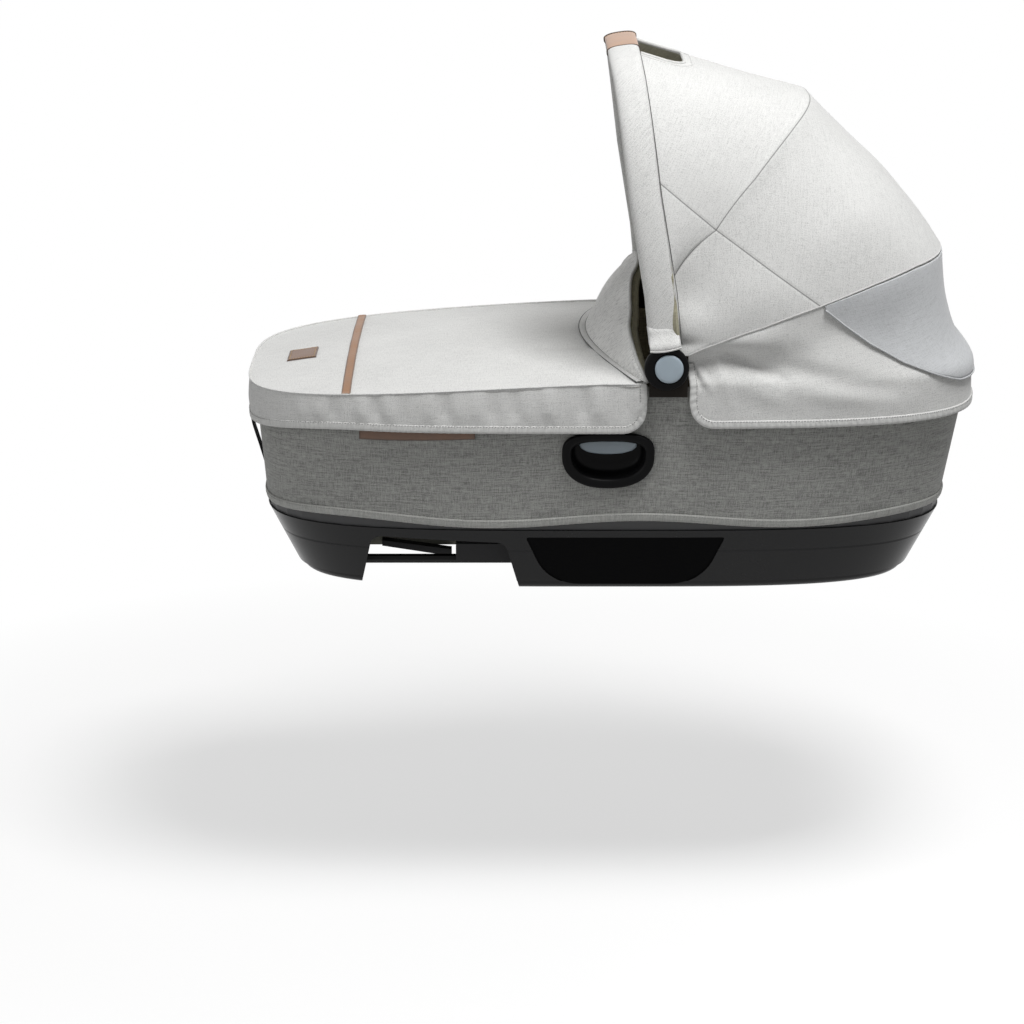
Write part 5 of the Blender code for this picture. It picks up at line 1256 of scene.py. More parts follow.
FAN_REAR = ((0.020, 33.0), (0.060, 26.5), (0.110, 23.2), (0.177, 21.5), (0.240, 20.6), (0.290, 19.5), (0.333, 17.6))
FAN_SEAM = ((0.0, 98.3), (0.092, 88.8), (0.155, 71.2), (0.220, 65.0), (0.286, 60.6), (0.314, 58.5), (1.0, 58.5))
SEAM_ACROSS = ((0.020, 0.482), (0.043, 0.471), (0.108, 0.417), (0.166, 0.375), (0.2225, 0.3345), (0.260, 0.308))
FLAP_EDGE = ((0.205, 0.350), (0.2225, 0.334), (0.250, 0.311), (0.278, 0.290), (0.315, 0.268), (0.352, 0.252),
             (0.384, 0.239), (0.420, 0.235))
FOLDS = ((0.074, 0.292, 0.165, 0.268, 0.020, -0.0042), (0.165, 0.268, 0.300, 0.238, 0.016, -0.0032),
         (0.100, 0.300, 0.200, 0.300, 0.022, 0.0030), (0.200, 0.240, 0.330, 0.222, 0.014, 0.0022),
         (0.078, 0.276, 0.094, 0.248, 0.005, -0.0026), (0.088, 0.268, 0.104, 0.244, 0.006, 0.0016),
         (0.140, 0.246, 0.200, 0.222, 0.014, 0.0018), (0.110, 0.285, 0.128, 0.215, 0.010, 0.0012),
         (0.105, 0.290, 0.185, 0.2535, 0.008, -0.0030))
PUFFS = ((0.074, 0.318, 0.030, 0.022, 0.0060), (0.090, 0.345, 0.034, 0.030, -0.0022),
         (0.072, 0.296, 0.018, 0.006, -0.0030), (0.066, 0.392, 0.024, 0.050, 0.0022),
         (0.150, 0.470, 0.060, 0.070, -0.0012), (0.105, 0.520, 0.030, 0.060, 0.0014),
         (0.260, 0.430, 0.080, 0.050, 0.0016), (0.190, 0.375, 0.080, 0.030, -0.0010))
CANOPY_HEART = np.array([0.14, 0.0, 0.24])
ROW_START = 0.023
FOLD_GAIN = 1.9
SKIRT_ABOVE_RIM = 0.72
SLEEVE_SHIFT = ((0.030, -0.0005), (0.050, 0.0004), (0.080, 0.0017), (0.184, -0.0004), (0.225, 0.0004),
                (0.265, 0.0010), (0.300, 0.0010), (0.322, 0.0))


def bow_reach(reach, turns):
    """How far a bow is from the hub axis."""
    return reach * np.sin(turns) ** (2 / BOW_EXPONENT)


def bow(c, angle, half_width, reach, turns, shift=0.0):
    """Points of a bow that stands in a plane through the hub axis."""
    across = -half_width * power(np.cos(turns), 2 / BOW_EXPONENT)
    out = bow_reach(reach, turns)
    return spots(c.hub_x + out * np.cos(angle) + shift * np.sin(angle), across,
                 c.hub_z + out * np.sin(angle) - shift * np.cos(angle))


def bow_turns(c, half_width, reach, start_out, count):
    start = math.asin((start_out / reach) ** (BOW_EXPONENT / 2))
    return even_turns(lambda t: bow(c, 1.0, half_width, reach, t).T, start, math.pi - start, count)


def canopy_rows(c, count=361):
    """The canopy's main lines: behind the sleeve, on seam B, on the rear bow and the sleeve's seam."""
    half_width = c.handle_half_width + c.handle_thickness / 2 + 0.0017
    reach = c.handle_reach - 0.0045
    turns = bow_turns(c, half_width, reach, ROW_START, count)
    shift = c.handle_breadth / 2 + 0.0004 + table(SLEEVE_SHIFT, bow_reach(reach, turns))
    lines = [bow(c, HANDLE_ANGLE, half_width, reach, turns, shift)]
    edge = bow(c, HANDLE_ANGLE, half_width + 0.0010, reach + 0.0010, turns, shift + 0.0026)
    grow = 0.0025 + 0.0004 + c.fabric
    for fan, half_width, reach in ((FAN_SEAM, c.mid_half_width + grow, c.mid_reach + grow),
                                   (FAN_REAR, c.rear_half_width + grow, c.rear_reach + grow)):
        turns = bow_turns(c, half_width, reach, ROW_START, count)
        lines.append(bow(c, np.radians(table(fan, bow_reach(reach, turns))), half_width, reach, turns))
    return (*lines, edge)


def fan_share(c, first, last, angle):
    """Share of the way from first to last where the fan's angle is met."""
    way = np.array([math.cos(angle), math.sin(angle)])
    hub = np.array([c.hub_x, c.hub_z])
    start = first[:, (0, 2)] - hub
    reach = last[:, (0, 2)] - first[:, (0, 2)]
    top = start[:, 0] * way[1] - start[:, 1] * way[0]
    bottom = -(reach[:, 0] * way[1] - reach[:, 1] * way[0])
    return np.clip(top / np.where(np.abs(bottom) < 1e-9, 1e-9, bottom), 0.0, 1.0)


def canopy_point(c, lines, q):
    """Points at q on the way from the sleeve (0) by seam B (1) to the rear bow (2)."""
    front, middle, rear, _ = lines
    q = np.broadcast_to(np.asarray(q, float), front.shape[:1])[:, None]
    first = np.where(q <= 1, front, middle)
    last = np.where(q <= 1, middle, rear)
    share = np.where(q <= 1, q, q - 1)
    point = first + (last - first) * share
    inward = unit(np.array([c.hub_x, 0.0, c.hub_z]) - point)
    span = np.clip(np.linalg.norm(first - last, axis=1)[:, None] / 0.2, 0.0, 1.0)
    puff = np.where(q <= 1, -0.0012 * np.sin(math.pi * share), 0.0080 * np.sin(math.pi * share ** 1.6))
    point = point - inward * puff * span
    return soften(point, np.sin(math.pi * np.clip(share, 0, 1)))


def soften(points, amount=1.0):
    """Small soft waves and the puffs that the real fabric shows."""
    x, y, z = points[..., 0], points[..., 1], points[..., 2]
    wave = (np.sin(38 * x + 17 * z + 0.4) * np.sin(29 * z - 21 * x + 9 * y)
            + 0.6 * np.sin(61 * z + 33 * y) * np.sin(47 * x + 1.3))
    lift = 0.0008 * wave * np.squeeze(amount)
    side = np.clip((np.abs(y) - 0.10) / 0.06, 0.0, 1.0) * np.clip(5 * np.squeeze(amount), 0.0, 1.0)
    for place_x, place_z, half_x, half_z, height in PUFFS:
        lift = lift + side * height * np.exp(-((x - place_x) / half_x) ** 2 - ((z - place_z) / half_z) ** 2)
    way = unit((points - CANOPY_HEART) * np.array([1.0, 1.6, 1.0]))
    return points + way * np.asarray(lift)[..., None]


def fold_lift(x, z):
    """How far the folds of the canopy's skirt stand in or out."""
    lift = np.zeros_like(x)
    for x0, z0, x1, z1, width, height in FOLDS:
        way = np.array([x1 - x0, z1 - z0])
        share = np.clip(((x - x0) * way[0] + (z - z0) * way[1]) / (way @ way), 0.0, 1.0)
        gap = np.hypot(x - x0 - share * way[0], z - z0 - share * way[1])
        fade = 0.35 + 0.65 * np.sin(math.pi * np.clip(share, 0.08, 0.92))
        lift += height * np.exp(-(gap / (0.8 * width)) ** 2) * fade
    return lift


def seam_marks(points, middle_row):
    """Signed distances to seam B, along each column, and to seam A, in side view."""
    run = along(points)
    across = points[..., 2] - table(SEAM_ACROSS, points[..., 0])
    side = np.abs(points[..., 1]) > 0.06
    return {"seam_b": run - middle_row, "seam_a": np.where(side, across * 0.82, 1.0)}


def fan_weights(c, item, first, last):
    """Blend by angle round the hubs, as the fabric really folds."""
    mesh = item.data
    points = read(mesh.vertices, "co")
    arm_x, arm_z = points[:, 0] - c.hub_x, points[:, 2] - c.hub_z
    angle = np.degrees(np.arctan2(arm_z, arm_x))
    start = table(FAN_REAR, np.hypot(arm_x, arm_z)) if first is None else first
    share = np.clip((angle - start) / (last - start), 0.0, 1.0)
    write(mesh.attributes["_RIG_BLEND"].data, "value", share)


def fan_blend(c, item, lower, upper, first, last):
    """Bend a piece between two bodies; first None starts on the rear seam."""
    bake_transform(item, lower, upper, start=(c.hub_x, 0.0, c.hub_z), end=(c.hub_x, 0.0, c.hub_z + 0.3))
    fan_weights(c, item, first, last)


def corner_rise(c, x, radius=0.027):
    """How far the hem rises round its front corner."""
    back = np.clip(radius - (x - c.front_x), 0.0, radius * 0.9999)
    return radius - np.sqrt(radius ** 2 - back ** 2)


def hem_curve(c, count, height, half_length):
    """The canopy's hem from the right hub round the head end."""
    first = math.asin((c.front_x / half_length) ** (PLAN_EXPONENT / 2))

    def outline(turns):
        return np.stack(plan(half_length, c.half_width, turns - math.pi / 2))

    turns = even_turns(outline, first, math.pi - first, count)
    return spots(*outline(turns), height)


def skirt_surface(c, b, count, rows_count):
    """A smooth grid of the skirt from the rear bow to the hem, with its folds."""
    top = canopy_rows(c, count)[2]
    top = top - unit(top - np.array([c.hub_x, 0.0, c.hub_z])) * 0.0014
    top[:, 2] -= 0.0008
    rim = hem_curve(c, count, b.rim_height + 0.004, c.half_length - 0.0010)
    hem = hem_curve(c, count, c.hem_height, c.half_length)
    hem[:, 2] += corner_rise(c, hem[:, 0])
    rows = []
    for share in np.linspace(0.0, 1.0, rows_count):
        drop = share ** 1.15
        if drop <= SKIRT_ABOVE_RIM:
            part = drop / SKIRT_ABOVE_RIM
            point = top + (rim - top) * part
            rear = np.clip((point[:, 0] - c.hub_x) / c.rear_reach, 0.0, 1.0)
            draw = 0.0105 * math.sin(math.pi * part) + 0.006 * math.sin(math.pi * part ** 3)
            point[:, 0] -= draw * rear ** 3
        else:
            point = rim + (hem - rim) * (drop - SKIRT_ABOVE_RIM) / (1 - SKIRT_ABOVE_RIM)
        rows.append(point)
    smooth = evened(np.array(rows), 4)
    x, y, z = np.moveaxis(smooth, -1, 0)
    share = np.linspace(0.0, 1.0, rows_count)[:, None]
    rear = np.clip((x - 0.30) / 0.08, 0.0, 1.0)
    waves = (0.0016 * np.sin(26 * x + 31 * z) + 0.0012 * np.sin(52 * x - 23 * z + 1.0)) * (1 - rear)
    waves = waves + rear * 0.0010 * np.sin(34 * y + 8 * z + 0.6) * np.sin(24 * z + 1.0)
    hollow = 0.0060 * np.sin(math.pi * np.clip(share / 0.75, 0.0, 1.0))
    lift = (FOLD_GAIN * fold_lift(x, z) - hollow) * (1 - rear) + waves
    lift *= np.sin(math.pi * np.clip(share, 0.0, 0.97))
    way = unit(spots((0.25 + 0.75 * rear) * (x - c.hub_x), y, 0.0))
    return smooth + way * lift[..., None]


class CARRYCOT_OT_canopy(bpy.types.Operator):
    """Make the canopy: panels, skirt, vent flap, hem, hand hole and piping."""

    bl_idname = "carrycot.canopy"
    bl_label = "Canopy"

    def execute(self, context):
        c = plain("carrycot_canopy")
        b = plain("carrycot_body")
        colours = plain("carrycot_finish")
        lines = canopy_rows(c)
        split = fan_share(c, lines[1], lines[2], MID_ANGLE)
        front_piece = self.make_front(c, colours, lines, split)
        rear_piece = self.make_rear(c, colours, lines, split)
        # The sleeve's seam is a thin dark cord: painted shade of the gap beside the sleeve.
        seam = cord_line("sleeve_seam", lines[3], 0.0005, 5, lines[3] - CANOPY_HEART)
        dress(seam, "handle", dark_thread(colours), slot="melange_fabric")
        trims = self.make_hand_hole(c, colours) + [seam]
        cloth(front_piece, "stretched", "handle_bow", "mid_bow", with_pieces=trims)
        surface = skirt_surface(c, b, 361, 70)
        item = sheet_mesh("canopy_skirt_fabric", surface, (0.1, 0.0, 0.25), c.fabric,
                          materials=(melange(colours), canopy_lining()))
        finish(item, "root", "canopy_skirt", slot="melange_fabric")
        self.make_vent_flap(c, surface, colours)
        cloth(item, "hung", "rear_bow", with_pieces=self.make_hem(surface, colours))
        rear = canopy_point(c, lines, 2.0)
        way = unit(rear - CANOPY_HEART)
        piping = cord_line("rear_piping", rear - way * 0.0012, 0.0015, 8, way)
        dress(piping, "root", piping_fabric(colours), slot="melange_fabric")
        cloth(rear_piece, "stretched", "mid_bow", "rear_bow", with_pieces=[piping])
        return {"FINISHED"}

    def make_front(self, c, colours, lines, split):
        """Front panels, down to the line where the middle bow's body begins."""
        steps = [np.full(len(split), q) for q in np.linspace(0.0, 1.0, 44)]
        steps += [1 + split * part for part in np.linspace(0.0, 1.0, 16)[1:]]
        rows = np.array([canopy_point(c, lines, q) for q in steps])
        marks = seam_marks(rows, along(rows)[43])
        item = sheet_mesh("canopy_front_fabric", rows, (0.1, 0.0, 0.3), wrap=True, marks=marks,
                          materials=(canopy_melange(colours), canopy_lining()))
        self.whole = BVHTree.FromPolygons([v.co.copy() for v in item.data.vertices],
                                          [list(p.vertices) for p in item.data.polygons])
        clear_selection()
        bpy.ops.mesh.primitive_cube_add(size=1.0, location=(0.0335, 0.0, 0.60), scale=(0.091, 0.112, 0.20))
        cutter = bpy.context.object
        bpy.ops.object.transform_apply(location=True, rotation=True, scale=True)
        bevel = cutter.modifiers.new("corners", "BEVEL")
        bevel.width = 0.022
        bevel.segments = 8
        bevel.limit_method = "NONE"
        apply_modifiers(cutter)
        cut(item, cutter)
        thicken(item, c.fabric, True)
        finish_shading(item, 60.0)
        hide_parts("canopy_front")
        fan_blend(c, item, "mid_bow", "handle", 58.5, 98.3)
        return item

    def make_rear(self, c, colours, lines, split):
        """Rear panel, which meets the front one edge to edge."""
        span = np.linalg.norm(lines[2] - lines[1], axis=1)
        steps = [1 + split + (1 - split) * part for part in np.linspace(0.0, 1.0, 60)]
        steps[0] = steps[0] - np.minimum(0.0003 / span, split)
        rows = np.array([canopy_point(c, lines, q) for q in steps])
        seam = canopy_point(c, lines, 1.0)
        start = -np.linalg.norm(rows[0] - seam, axis=1)
        item = sheet_mesh("canopy_rear_fabric", rows, (0.1, 0.0, 0.3), c.fabric, marks=seam_marks(rows, start),
                          materials=(canopy_melange(colours), canopy_lining()))
        finish_shading(item, 60.0)
        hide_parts("canopy_rear")
        fan_blend(c, item, "root", "mid_bow", None, 58.5)
        return item

    def make_hand_hole(self, c, colours):
        """Bound edge and a line of piping round the hole behind the grip."""
        made = []
        for name, grow, radius, material in (
                ("hand_hole_binding", 0.0012, 0.0021, binding_tape(colours)),
                ("hand_hole_piping", 0.0100, 0.0009, piping_fabric(colours))):
            back, side, corner = 0.079 + grow, 0.056 + grow, 0.022 + grow
            path = [(x, -side) for x in np.linspace(0.030, back - corner, 16)]
            path += [(back - corner + corner * math.sin(t), -side + corner - corner * math.cos(t))
                     for t in np.linspace(0.1, math.pi / 2, 10)]
            path += [(back, y) for y in np.linspace(-side + corner, side - corner, 24)[1:-1]]
            path += [(back - corner + corner * math.cos(t), side - corner + corner * math.sin(t))
                     for t in np.linspace(0.0, math.pi / 2 - 0.1, 10)]
            path += [(x, side) for x in np.linspace(back - corner, 0.030, 16)]
            points, normals = [], []
            for x, y in path:
                spot, normal, _, _ = self.whole.ray_cast(Vector((x, y, 0.9)), Vector((0.0, 0.0, -1.0)))
                if spot is not None:
                    points.append(spot)
                    normals.append(normal)
            item = cord_line(name, points, radius, 8, np.array(normals))
            set_material(item, material)
            fan_blend(c, item, "mid_bow", "handle", 58.5, 98.3)
            made.append(item)
        return made

    def make_vent_flap(self, c, surface, colours):
        """Second layer from the rear piping down over the head end."""
        columns = []
        rows_at = np.linspace(0.0, 1.0, len(surface))
        for index in range(surface.shape[1]):
            column = surface[:, index]
            above = column[:, 2] - table(FLAP_EDGE, column[:, 0])
            if above[0] < 0.003 or column[0, 0] < 0.2225:
                continue
            stop = int(np.argmax(above < 0)) or len(column) - 1
            part = above[stop - 1] / (above[stop - 1] - above[stop])
            reach = rows_at[stop - 1] + part * (rows_at[stop] - rows_at[stop - 1])
            shares = 0.012 + (reach - 0.012) * np.linspace(0.0, 1.0, 40)
            points = read_line(shares, rows_at, column)
            way = unit((points - np.array([c.hub_x, 0.0, 0.0])) * np.array([0.5, 1.0, 0.0]))
            stand = 0.0026 + 0.0002 * np.linspace(0.0, 1.0, 40) ** 2
            columns.append(points + way * stand[:, None])
        rows = np.array(columns).transpose(1, 0, 2)
        # The vent flap and its edge take the darkened grey: painted shade.
        item = sheet_mesh("vent_flap_fabric", rows, (0.1, 0.0, 0.28), 0.0012,
                          materials=(flap_melange_painted_shade(), canopy_lining()))
        finish(item, "root", "vent_flap", slot="melange_fabric")
        edge = cord_line("vent_flap_edge", rows[-1], 0.0011, 6)
        dress(edge, "root", flap_melange_painted_shade(), slot="melange_fabric")
        cloth(item, "hung", "canopy_skirt_fabric", with_pieces=[edge])

    def make_hem(self, surface, colours):
        """Bound edge down the front, round the corner and along the hem."""
        first = surface[18:-1, 0]
        last = surface[18:-1, -1][::-1]
        return bound_hem("canopy_hem", "root", np.concatenate([first, surface[-1], last]), 760, colours)


TAPE = ((0.0000, 0.0082), (0.0008, 0.0078), (0.0013, 0.0052), (0.0014, 0.0018), (0.0010, -0.0002),
        (0.0000, -0.0009), (-0.0014, -0.0006), (-0.0024, 0.0010), (-0.0024, 0.0060))


def edge_ways(line):
    """Outward and into-the-cloth directions along a hem's edge."""
    tangents = ways_along(line)
    out = line * np.array([0.22, 1.0, 0.0])
    out = unit(out - tangents * (out * tangents).sum(1)[:, None])
    up = np.cross(out, tangents)
    if up[len(up) // 2, 2] < 0:
        up = -up
    return out, up


def edge_tape(name, line, out, up):
    """Folded tape that closes over a cloth's edge."""
    run = along(line)
    rows = []
    for stand, inward in TAPE:
        wave = 0.0003 * np.sin(run * 880 + 3 * np.sin(run * 61) + inward * 300)
        rows.append(line + out * (stand + wave)[:, None] + up * inward)
    rows.append(rows[0].copy())
    return sheet_mesh(name, np.array(rows), line.mean(0) * np.array([1.0, 0.0, 1.0]), wrap=True)


def bound_hem(name, body, line, count, colours):
    """Folded tape with its stitches along a cloth's hem."""
    run = along(line)
    line = evened(read_line(np.linspace(0.0, run[-1], count), run, line), 3)
    out, up = edge_ways(line)
    tape = edge_tape(name, line, out, up)
    dress(tape, body, binding_tape(colours), slot="melange_fabric")
    stitches = stitch_row(name + "_stitches", line + up * 0.0070 + out * 0.0014, out)
    dress(stitches, body, pale_thread(colours), slot="melange_fabric")
    return [tape, stitches]


def cloth(item, held, *rests_on, with_pieces=()):
    """Measure a sheet of cloth: the flat size of its own pattern and one side's area, which nothing keeps."""
    width, length = (float(span) for span in np.ptp(read(item.data.uv_layers[0].data, "uv", 2), axis=0))
    one_side = float(read(item.data.polygons, "area", 1).sum()) / 2


TUBE_EXPONENT = 2.6
SLEEVE_OVAL = (0.0176, 0.0096, 0.0066)
GRIP_OVAL = (0.0176, 0.0052, 0.0070)
GRIP_EDGE_OVAL = (0.0181, 0.0057, 0.0075)
GRIP_STITCH_OVAL = (0.0177, 0.0053, 0.0053)
SLEEVE_HEM = ((0.0208, 0.2338), (0.0232, 0.2344), (0.0262, 0.2340), (0.0300, 0.2312), (0.0345, 0.2276),
              (0.0400, 0.2246), (0.0470, 0.2236))


def oval(turns, half_breadth, outer, inner):
    """Section of the padded handle: offsets across its plane and outward."""
    stand = np.where(np.sin(turns) > 0, outer, inner)
    return half_breadth * power(np.cos(turns), 2 / TUBE_EXPONENT), stand * power(np.sin(turns), 2 / TUBE_EXPONENT)


class CARRYCOT_OT_handle(bpy.types.Operator):
    """Make the fabric sleeves and the leather grip on the carry handle."""

    bl_idname = "carrycot.handle"
    bl_label = "Handle"

    def execute(self, context):
        c = plain("carrycot_canopy")
        colours = plain("carrycot_finish")
        turns = bow_turns(c, c.handle_half_width, c.handle_reach, 0.0262, 520)
        line = bow(c, HANDLE_ANGLE, c.handle_half_width, c.handle_reach, turns)
        across = np.array([math.sin(HANDLE_ANGLE), 0.0, -math.cos(HANDLE_ANGLE)])
        outs = np.cross(np.broadcast_to(across, line.shape), ways_along(line))
        outs *= np.sign(outs[len(outs) // 2, 2])
        grip = np.abs(line[:, 1]) <= 0.058
        self.make_grip(line[grip], outs[grip], across, colours)
        sleeve = line[:, 1] < -0.0570
        item = self.make_sleeve(c, line[sleeve], outs[sleeve], across)
        dress(item, "handle", sleeve_melange(colours), "handle_sleeve_right", slot="melange_fabric")
        twin = mirror_copy(item, "sleeve_left")
        dress(twin, "handle", sleeve_melange(colours), "handle_sleeve_left", slot="melange_fabric")
        self.make_sleeve_hem(c, across, colours)
        paint("handle_bow", dark_steel())
        paint("mid_bow", spring_steel())
        paint("rear_bow", spring_steel())
        return {"FINISHED"}

    def make_sleeve(self, c, line, outs, across):
        """Oval padded cover whose outer side is fuller than its inner one."""
        along_t, stand = oval(np.linspace(0.0, math.tau, 45), *SLEEVE_OVAL)
        reach = np.hypot(line[:, 0] - c.hub_x, line[:, 2] - c.hub_z)
        shift = table(SLEEVE_SHIFT, reach)
        slim = 0.36 * np.clip((reach - 0.300) / 0.024, 0.0, 1.0)
        run = along(line)
        wave = 0.0004 * np.sin(run * 62 + 1.0) + 0.0003 * np.sin(run * 141)
        rings = (line[:, None] + across * (along_t[None, :, None] + shift[:, None, None])
                 + outs[:, None] * (stand[None, :] * (1 + 12 * wave - slim)[:, None])[..., None])
        return solid("sleeve_right", rings, 60.0)

    def make_grip(self, line, outs, across, colours):
        """Leather wrap with raised edges and a sewn seam at each end."""
        turns = np.linspace(0.0, math.tau, 49)
        run = along(line)
        ends = np.minimum(run, run[-1] - run)
        swell = (0.93 + 0.07 * np.clip(ends / 0.0016, 0.0, 1.0) ** 0.5)[:, None, None]
        rings = np.array([self.grip_ring(line, outs, across, at, turns, GRIP_OVAL) for at in range(len(line))])
        rings = line[:, None] + swell * (rings - line[:, None])
        marks = {"edge": np.broadcast_to(ends[:, None], rings.shape[:2])}
        item = solid("grip_leather", rings, 60.0, marks)
        dress(item, "handle", leather("grip_leather", (0.40, 0.25, 0.17)), "handle_grip", slot="leather_tan")
        for index, at in enumerate((0, len(line) - 1)):
            ring = self.grip_ring(line, outs, across, at, turns, GRIP_EDGE_OVAL)
            edge = cord_line("grip_edge_%d" % index, ring, 0.0010, 6, outs[at] + 0.001)
            dress(edge, "handle", brown_leather(colours), slot="leather_brown")
        for index, place in enumerate((0.0045, run[-1] - 0.0045)):
            at = int(np.argmin(np.abs(run - place)))
            ring = self.grip_ring(line, outs, across, at, turns[:25], GRIP_STITCH_OVAL)
            stitches = stitch_row("grip_stitches_%d" % index, ring, ring - line[at])
            dress(stitches, "handle", tan_thread(), slot="leather_tan")

    def grip_ring(self, line, outs, across, at, turns, size):
        """Points of an oval round the handle at one place."""
        along_t, stand = oval(turns, *size)
        return line[at] + across * along_t[:, None] + outs[at] * stand[:, None]

    def make_sleeve_hem(self, c, across, colours):
        """Folded hem of each sleeve, lying over the top of the hub's cap."""
        widths = np.linspace(-1.0, 1.0, 33)
        up_way = np.array([math.cos(HANDLE_ANGLE), 0.0, math.sin(HANDLE_ANGLE)])
        hub = np.array([c.hub_x, 0.0, c.hub_z])
        for side, tag in SIDES:
            rows = []
            for out, away in SLEEVE_HEM:
                curved = out + 0.0016 * widths ** 2 * (out < 0.03)
                flank = SLEEVE_OVAL[1] * (1 - (1 - np.abs(widths) ** TUBE_EXPONENT) ** (1 / TUBE_EXPONENT))
                upper = min(max((out - 0.024) / 0.014, 0.0), 1.0)
                fall = 0.0022 * np.abs(widths) ** 3 * (1 - upper) + flank * upper
                point = hub + up_way * curved[:, None] + across * (0.0170 * widths - 0.0008)[:, None]
                point[:, 1] = side * (away - fall)
                rows.append(point)
            item = sheet_mesh("sleeve_hem_" + tag, np.array(rows), (c.hub_x, 0.0, c.hub_z), 0.0016)
            dress(item, "handle", sleeve_melange(colours), slot="melange_fabric")
            edge = cord_line("sleeve_hem_edge_" + tag, rows[0], 0.0011, 6)
            dress(edge, "handle", binding_tape(colours), slot="melange_fabric")
            cloth(item, "folded", "sleeve_" + tag, with_pieces=[edge])


# Apron

FLAP_X = ((0.0, 0.0310), (0.030, 0.0285), (0.060, 0.0220), (0.100, 0.0180), (0.150, 0.0165), (0.188, 0.0175),
          (0.200, 0.0215), (0.208, 0.0280), (0.214, 0.0345))
FLAP_Z = ((0.0, 0.3515), (0.030, 0.3475), (0.060, 0.3375), (0.100, 0.3180), (0.150, 0.2990), (0.188, 0.2880),
          (0.200, 0.2740), (0.208, 0.2610), (0.214, 0.2510))


FLAP_BAND = ((-0.0068, 0.0002), (-0.0062, 0.0010), (-0.0038, 0.0013), (-0.0012, 0.0012), (0.0, 0.0006))
TAN_PROFILE = ((-0.0050, 0.0000), (-0.0050, 0.0010), (-0.0043, 0.0017), (-0.0020, 0.0019), (0.0020, 0.0019),
               (0.0043, 0.0017), (0.0050, 0.0010), (0.0050, 0.0000))
TAN_X = -0.295
PATCH_X, PATCH_Y = -0.354, -0.008
PATCH_HALF_X, PATCH_HALF_Y = 0.0170, 0.0260
PATCH_SEAM = 0.0028


def apron_height(b, a, x, y):
    """Height of the apron's padded top."""
    share = np.maximum(np.abs(x) / a.half_length, np.abs(y) / a.half_width)
    radial = (np.abs(x) / a.half_length) ** 3 + (np.abs(y) / a.half_width) ** 3
    fullness = 1 - np.clip(np.maximum(share, radial ** (1 / 3)), 0.0, 1.0) ** 2.4
    return rim_height(b, x) + a.rise + a.crown * fullness


def apron_quilt(x, y):
    """Shallow drags and dents in the padded top."""
    dent = -0.0022 * np.exp(-((x + 0.055) / 0.05) ** 2 - ((y + 0.085) / 0.012) ** 2)
    dent += 0.0012 * np.sin(24 * x + 9 * y) * np.sin(17 * y - 13 * x + 0.5)
    dent += 0.0006 * np.sin(57 * x - 31 * y) * np.sin(43 * y + 0.8)
    return dent


def laid_on_apron(b, a, x, y, up):
    """Points that lie on the apron's top, some way up from it."""
    return spots(x, y, apron_height(b, a, x, y) + apron_quilt(x, y) + up)


def apron_hem(a, x, radius=0.026):
    """Height of the apron's hem, with its rounded front corners."""
    share = np.clip((a.drop_from - x) / (a.half_length + a.drop_from), 0.0, 1.0)
    back = np.clip(radius - (a.front_x - x), 0.0, radius * 0.9999)
    return a.hem_height - a.foot_drop * share ** 2 + radius - np.sqrt(radius ** 2 - back ** 2)


def apron_edge(a, y):
    """Where the wind flap is sewn on, as an x for each y."""
    share = np.clip(np.abs(y) / (a.half_width - 0.003), 0.0, 1.0)
    return a.front_x - a.dip * (1 - share ** 2)


def apron_outline(a, count):
    """Plan outline from the right front corner round the foot."""
    near = math.asin((a.front_x / a.half_length) ** (PLAN_EXPONENT / 2))

    def outline(turns):
        return np.stack(plan(a.half_length, a.half_width, turns))

    return outline(even_turns(outline, -math.pi / 2 + near, -3 * math.pi / 2 - near, count)).T


